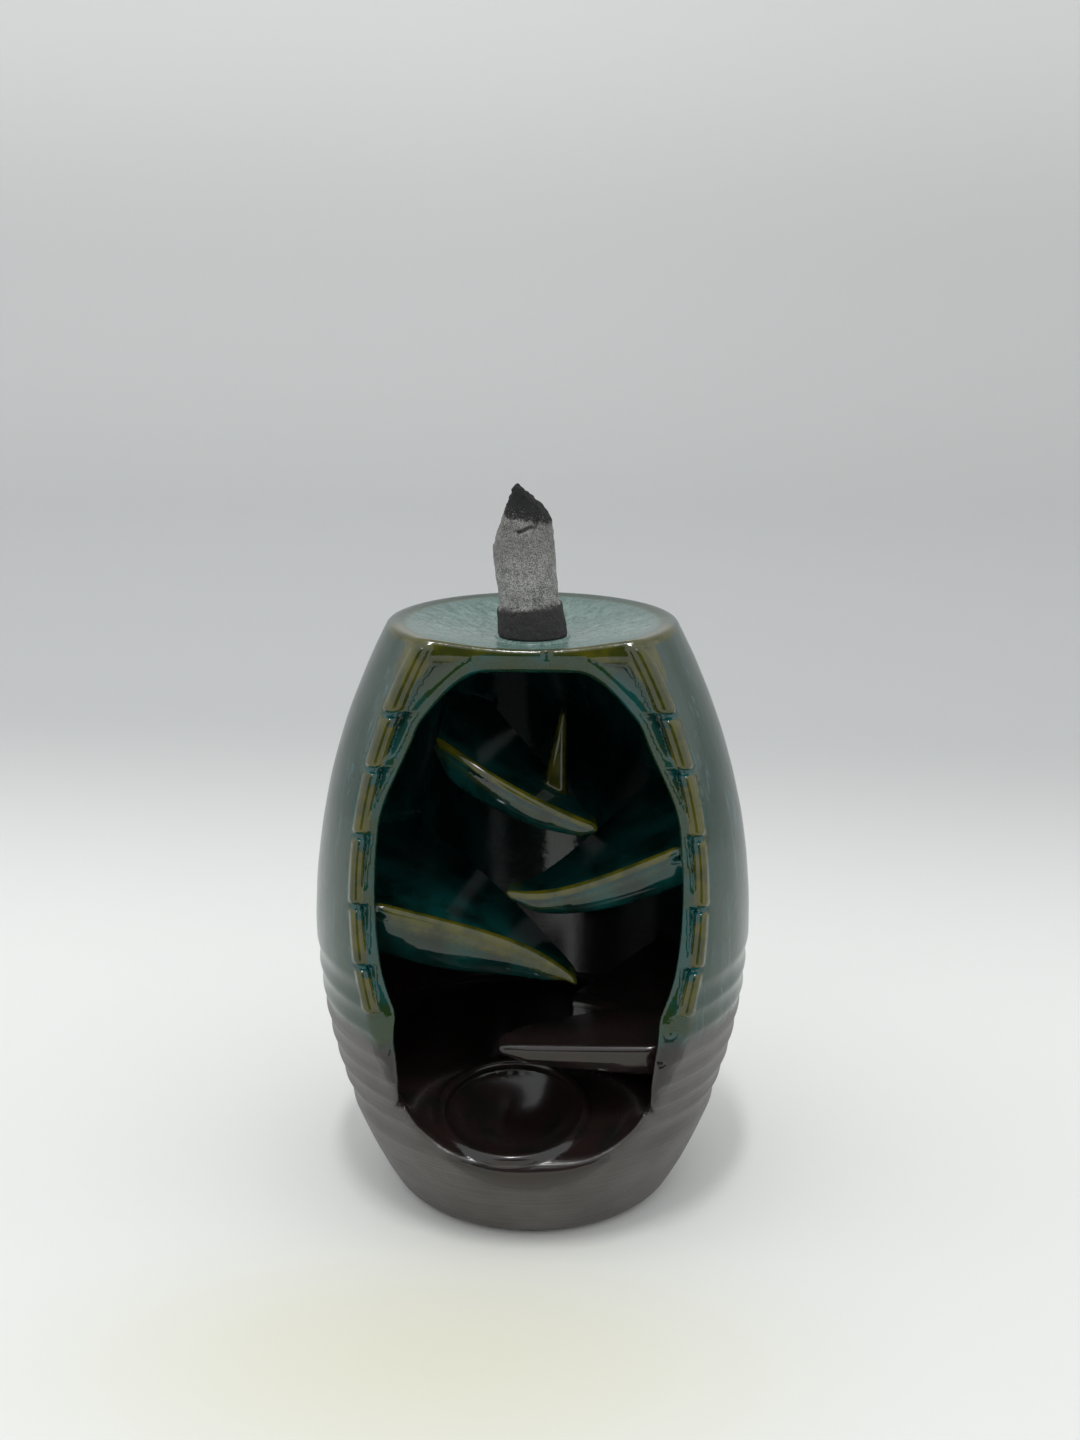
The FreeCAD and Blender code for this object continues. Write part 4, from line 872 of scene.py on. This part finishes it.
def glaze_material():
    """Reactive glaze: olive where it runs thin, dark teal where it pools, dull brown towards the foot."""
    g = Graph("reactive_glaze")
    dish, inside, front = g.value("dish"), g.value("inside"), g.value("front")
    pooled, thin = g.value("pooled"), g.value("thin")
    cloud = g.noise(g.place, 0.16, 4.0)
    fine = g.noise(g.place, 1.1, 4.0, 0.6)

    # The side of the barrel: fine streaks that ran down
    streaks = g.noise(g.stretched(1.0, 1.0, 0.05), 0.9, 4.0, 0.62)
    broad = g.noise(g.stretched(1.0, 1.0, 0.12), 0.13, 2.0)
    streak_share = g.times(g.step(streaks, 0.48, 0.70), g.step(broad, 0.42, 0.60))
    side = g.blend(g.times(streak_share, 0.75), SIDE_GREEN, SIDE_BLUE)

    # The front and the hollow
    teal_share = g.step(g.plus(cloud, g.times(fine, 0.25)), 0.48, 0.78)
    front_color = g.blend(teal_share, MOSS, TEAL)
    walls = g.noise(g.stretched(1.0, 1.0, 0.35), 0.11, 3.0)
    wall_share = g.times(g.step(walls, 0.30, 0.68), g.step(g.z, 40.0, 60.0, 0.25, 1.0))
    hollow_color = g.blend(wall_share, DEEP_GREEN, TEAL)
    color = g.blend(front, side, front_color)
    color = g.blend(inside, color, hollow_color)
    slot_color = g.blend(g.step(g.z, 90.0, 97.0), g.blend(teal_share, SLOT_TEAL, TEAL), SPANDREL_GREEN)
    color = g.blend(g.value("sunk"), color, slot_color)

    # Olive where the glaze is thin
    olive_noise = g.noise(g.place, 0.28, 3.0, 0.5)
    olive_color = g.blend(g.step(olive_noise, 0.32, 0.66), DARK_OLIVE, OLIVE)
    olive_share = g.plus(g.value("olive"), g.times(g.minus(fine, 0.5), 0.35))
    olive_share = g.minus(olive_share, g.times(pooled, 0.9))
    edges = g.times(g.step(thin, 0.45, 0.95), inside)
    olive_share = g.most(g.step(olive_share, 0.25, 0.65), g.times(edges, 0.35))
    color = g.blend(g.math("MULTIPLY", olive_share, 0.96, clamp=True), color, olive_color)

    # Turquoise pools in the notches
    pool_share = g.times(g.value("node"), g.step(g.plus(pooled, g.times(fine, 0.3)), 0.45, 0.95))
    color = g.blend(g.math("MULTIPLY", pool_share, 0.8, clamp=True), color, TURQUOISE)

    # The dull lower zone, and the glossy brown ramp inside it
    round_about = g.noise(g.stretched(1.0, 1.0, 0.25), 0.12, 3.0, 0.6)
    level = g.plus(g.z, g.times(g.minus(round_about, 0.5), 9.0))
    level = g.plus(level, g.times(g.minus(fine, 0.5), 2.0))
    bare = g.step(level, 41.5, 37.5)
    bare_noise = g.noise(g.stretched(1.0, 1.0, 1.6), 0.12, 3.0, 0.5)
    # A painted sheen: a lighter lilac band along the top of the dull zone, in the lilac that also mottles it
    painted_sheen = g.times(g.step(level, 27.0, 37.0), bare)
    bare_color = g.blend(g.step(bare_noise, 0.30, 0.75, 0.0, 0.5), BARE_BROWN, BARE_LILAC_AND_SHEEN)
    bare_color = g.blend(g.times(painted_sheen, 0.6), bare_color, BARE_LILAC_AND_SHEEN)
    enclosed = g.most(front, inside)
    ramp_color = g.blend(g.times(g.step(cloud, 0.45, 0.62), 0.5), RAMP_BROWN, DEEP_GREEN)
    low_color = g.blend(enclosed, bare_color, ramp_color)
    color = g.blend(g.times(bare, g.opposite(dish)), color, low_color)

    # The dish: pale crystals that grew outwards
    flat = g.vector("MULTIPLY", g.place, (1.0, 1.0, 0.0))
    outward = g.vector("NORMALIZE", flat)
    spread = g.vector("LENGTH", flat).node.outputs["Value"]
    rays = g.vector("ADD", g.vector("SCALE", outward, scale=9.0), g.vector("SCALE", flat, scale=0.35))
    needles = g.noise(rays, 1.0, 5.0, 0.65, 0.6)
    flecks = g.noise(g.place, 1.5, 4.0, 0.6)
    crystals = g.plus(g.times(needles, 0.6), g.times(flecks, 0.4))
    crystal_share = g.step(crystals, 0.34, 0.66)
    crystal_share = g.times(crystal_share, g.step(spread, 25.0, 17.0, 0.35, 1.0))
    dish_color = g.blend(crystal_share, DISH_DEEP, DISH_PALE)
    edge_share = g.step(g.plus(spread, g.times(fine, 1.5)), 22.6, 24.4)
    dish_color = g.blend(g.times(edge_share, 0.8), dish_color, OLIVE)
    color = g.blend(dish, color, dish_color)

    # How dull it is
    roughness = g.between(enclosed, 0.21, 0.07)
    roughness = g.between(olive_share, roughness, 0.12)
    roughness = g.between(bare, roughness, g.between(enclosed, 0.42, 0.17))
    roughness = g.between(dish, roughness, 0.24)
    roughness = g.plus(roughness, g.times(g.minus(fine, 0.5), 0.08))

    # Orange peel everywhere, turning marks low on the side
    peel = g.noise(g.place, 0.55, 2.0)
    turning = g.noise(g.stretched(0.10, 0.10, 3.2), 0.45, 2.0, 0.5)
    grain = g.noise(g.place, 3.0, 3.0, 0.6)
    dull = g.times(bare, g.opposite(enclosed))
    height = g.times(g.plus(turning, g.times(grain, 0.25)), dull)
    normal = g.bump(g.times(peel, g.between(inside, 1.0, 0.35)), 0.08, 0.5)
    normal = g.bump(height, 0.16, 1.0, normal)
    g.shader.inputs["IOR"].default_value = GLAZE_IOR
    return g.finish(color, roughness, normal)


ASH_PALE = (0.50, 0.49, 0.47, 1)
ASH_DARK = (0.07, 0.068, 0.065, 1)
CHAR = (0.0040, 0.0040, 0.0045, 1)
UNBURNT = (0.0250, 0.0240, 0.0230, 1)


def ash_material():
    """Speckled ash over a dark unburnt collar, with a charred tip."""
    g = Graph("speckled_ash")
    along = g.value("along")
    grain = g.noise(g.place, 5.0, 4.0, 0.7)
    coarse = g.noise(g.place, 0.5, 3.0)
    spots = g.specks(g.place, 3.4)
    pale_share = g.plus(grain, g.times(g.minus(coarse, 0.5), 0.25))
    pale_share = g.step(pale_share, 0.36, 0.62)
    pale_share = g.times(pale_share, g.step(spots, 0.12, 0.42, 0.25, 1.0))
    fade = g.step(g.plus(along, g.times(g.minus(coarse, 0.5), 3.0)), 17.5, 10.5, 0.6, 1.0)
    color = g.blend(g.times(pale_share, fade), ASH_DARK, ASH_PALE)
    ragged = g.plus(along, g.times(g.minus(g.noise(g.place, 0.9, 4.0, 0.65), 0.5), 2.6))
    collar = g.step(ragged, 6.2, 5.2)
    collar_color = g.blend(g.step(grain, 0.46, 0.66), UNBURNT, ASH_DARK)
    color = g.blend(collar, color, collar_color)
    slanted = g.plus(ragged, g.times(g.x, 0.28))
    char = g.step(slanted, 20.2, 21.2)
    ember_ash = g.times(g.step(grain, 0.56, 0.68), g.step(slanted, 24.0, 21.0))
    char_color = g.blend(g.times(ember_ash, 0.55), CHAR, ASH_PALE)
    color = g.blend(char, color, char_color)
    height = g.plus(g.times(grain, 0.7), g.times(coarse, 0.6))
    return g.finish(color, 0.92, g.bump(height, 0.35))


# The floor's colours, with painted shade where a sweep turns from the light: near the object, darker farther
# back, at the foot of the backdrop, lighter up on it, and darker to the side
FLOOR_NEAR = (0.82, 0.825, 0.805, 1)
FLOOR_FAR_SHADE = (0.515, 0.52, 0.52, 1)
BACKDROP_FOOT_SHADE = (0.60, 0.605, 0.60, 1)
BACKDROP_HIGH = (0.78, 0.778, 0.765, 1)
SIDE_SHADE = (0.20, 0.20, 0.20, 1)
# The painted warm shadow and bounced light before the object
PAINTED_WARM_CAST = (0.75, 0.738, 0.60, 1)

# The backdrop's outline, in metres
FLOOR_FRONT = -0.72
FLOOR_BACK = 0.9
FLOOR_HALF = 3.0
BEND_RADIUS = 0.8
BEND_STEPS = 8
BACKDROP_TOP = 3.0


def make_stage():
    """Pale floor and backdrop as one sheet that curves up behind."""
    profile = [(FLOOR_FRONT, 0.0), (FLOOR_BACK, 0.0)]
    for index in range(1, BEND_STEPS + 1):
        turn = index * math.pi / 2 / BEND_STEPS
        back = FLOOR_BACK + BEND_RADIUS * math.sin(turn)
        profile.append((back, BEND_RADIUS - BEND_RADIUS * math.cos(turn)))
    profile.append((FLOOR_BACK + BEND_RADIUS, BACKDROP_TOP))
    corners = np.array([(side, y, z) for y, z in profile for side in (-FLOOR_HALF, FLOOR_HALF)])
    faces = np.array([(2 * i, 2 * i + 1, 2 * i + 3, 2 * i + 2) for i in range(len(profile) - 1)])
    floor = new_object("floor", corners, faces)
    floor.data.shade_smooth()
    g = Graph("pale_paper")
    # Painted shade: the floor darkens farther back as the sweep's bend would, lightens again up the
    # backdrop, and darkens to the right
    painted_falloff = g.step(g.plus(g.y, g.times(g.x, 0.10)), 60.0, 330.0)
    color = g.blend(painted_falloff, FLOOR_NEAR, FLOOR_FAR_SHADE)
    color = g.blend(g.step(g.y, 800.0, 1500.0), color, BACKDROP_FOOT_SHADE)
    color = g.blend(g.step(g.z, 150.0, 460.0), color, BACKDROP_HIGH)
    color = g.blend(g.step(g.x, -200.0, 500.0, 0.0, 0.10), color, SIDE_SHADE)
    # A painted warm shadow with bounced light from the object and its smoke, on the floor in front of it
    spot = g.vector("MULTIPLY", g.vector("ADD", g.place, (14.0, 62.0, 0.0)), (0.011, 0.02, 0.0))
    painted_warm_cast = g.step(g.vector("LENGTH", spot).node.outputs["Value"], 1.0, 0.0)
    color = g.blend(g.times(painted_warm_cast, 0.9), color, PAINTED_WARM_CAST)
    paper = g.noise(g.place, 0.4, 4.0, 0.6)
    floor.data.materials.append(g.finish(color, 0.85, g.bump(paper, 0.05)))


def make_lamp(name, place, target, size, power):
    lamp = bpy.data.lights.new(name, "AREA")
    lamp.shape = "RECTANGLE"
    lamp.size, lamp.size_y = size
    lamp.energy = power
    body = bpy.data.objects.new(name, lamp)
    body.location = place
    body.rotation_euler = (Vector(target) - Vector(place)).to_track_quat("-Z", "Y").to_euler()
    bpy.context.scene.collection.objects.link(body)


# The lamp and the room: place, aim and size in metres, and the dark part of the room before the object
LAMP_PLACE = (-0.05, -0.55, 1.8)
LAMP_AIM = (0, 0, 0.1)
LAMP_SIZE = (0.12, 0.45)
LAMP_POWER = 8.0
ROOM_COLOR = (0.97, 0.99, 1.0, 1)
DARK_LEVEL = 0.05
DARK_WIDTH = 0.36
DARK_TALL = 0.42
DARK_RISE = 0.12


def make_light():
    """A pale room all round that is dark in front of the object, and a small lamp overhead."""
    world = bpy.data.worlds.new("studio")
    bpy.context.scene.world = world
    world.use_nodes = True
    tree = world.node_tree
    background = tree.nodes["Background"]

    def math_node(operation, a, b):
        node = tree.nodes.new("ShaderNodeMath")
        node.operation = operation
        for socket, value in zip(node.inputs, (a, b)):
            if isinstance(value, bpy.types.NodeSocket):
                tree.links.new(value, socket)
            else:
                socket.default_value = value
        return node.outputs[0]

    direction = tree.nodes.new("ShaderNodeTexCoord").outputs["Generated"]
    parts = tree.nodes.new("ShaderNodeSeparateXYZ")
    tree.links.new(direction, parts.inputs[0])
    x, y, z = parts.outputs
    wide = math_node("MULTIPLY", x, 1.0 / DARK_WIDTH)
    tall = math_node("MULTIPLY", math_node("SUBTRACT", z, DARK_RISE), 1.0 / DARK_TALL)
    squared = math_node("ADD", math_node("POWER", wide, 2.0), math_node("POWER", tall, 2.0))
    away = math_node("SQRT", squared, 0.0)
    away = math_node("ADD", away, math_node("MULTIPLY", math_node("GREATER_THAN", y, 0.0), 5.0))
    pale = tree.nodes.new("ShaderNodeMapRange")
    pale.interpolation_type = "SMOOTHSTEP"
    tree.links.new(away, pale.inputs["Value"])
    pale.inputs["From Min"].default_value = 0.8
    pale.inputs["From Max"].default_value = 1.1
    pale.inputs["To Min"].default_value = DARK_LEVEL
    pale.inputs["To Max"].default_value = 1.0
    camera_ray = tree.nodes.new("ShaderNodeLightPath").outputs["Is Camera Ray"]
    strength = math_node("MAXIMUM", pale.outputs[0], camera_ray)
    background.inputs["Color"].default_value = ROOM_COLOR
    tree.links.new(strength, background.inputs["Strength"])
    make_lamp("overhead", LAMP_PLACE, LAMP_AIM, LAMP_SIZE, LAMP_POWER)


# The photograph's camera: turned a little to the right of the open front, looking down
CAMERA_SIDE = math.radians(1.8)
CAMERA_PITCH = math.radians(15.3)
CAMERA_TURN = math.radians(0.256)
CAMERA_DISTANCE = 0.296
CAMERA_HEIGHT = 0.170
CAMERA_LENS = 42.5


def make_camera():
    lens = bpy.data.cameras.new("camera")
    lens.lens = CAMERA_LENS
    lens.sensor_width = 36
    lens.clip_start = 0.01
    camera = bpy.data.objects.new("camera", lens)
    camera.location = (CAMERA_DISTANCE * math.sin(CAMERA_SIDE), -CAMERA_DISTANCE * math.cos(CAMERA_SIDE),
                       CAMERA_HEIGHT)
    camera.rotation_euler = (math.pi / 2 - CAMERA_PITCH, 0.0, CAMERA_SIDE - CAMERA_TURN)
    bpy.context.scene.collection.objects.link(camera)
    bpy.context.scene.camera = camera


burner = make_burner()
burner.data.materials.append(glaze_material())
cone = make_cone()
cone.data.materials.append(ash_material())
make_stage()
make_light()
make_camera()
bpy.context.scene.view_settings.view_transform = "Standard"
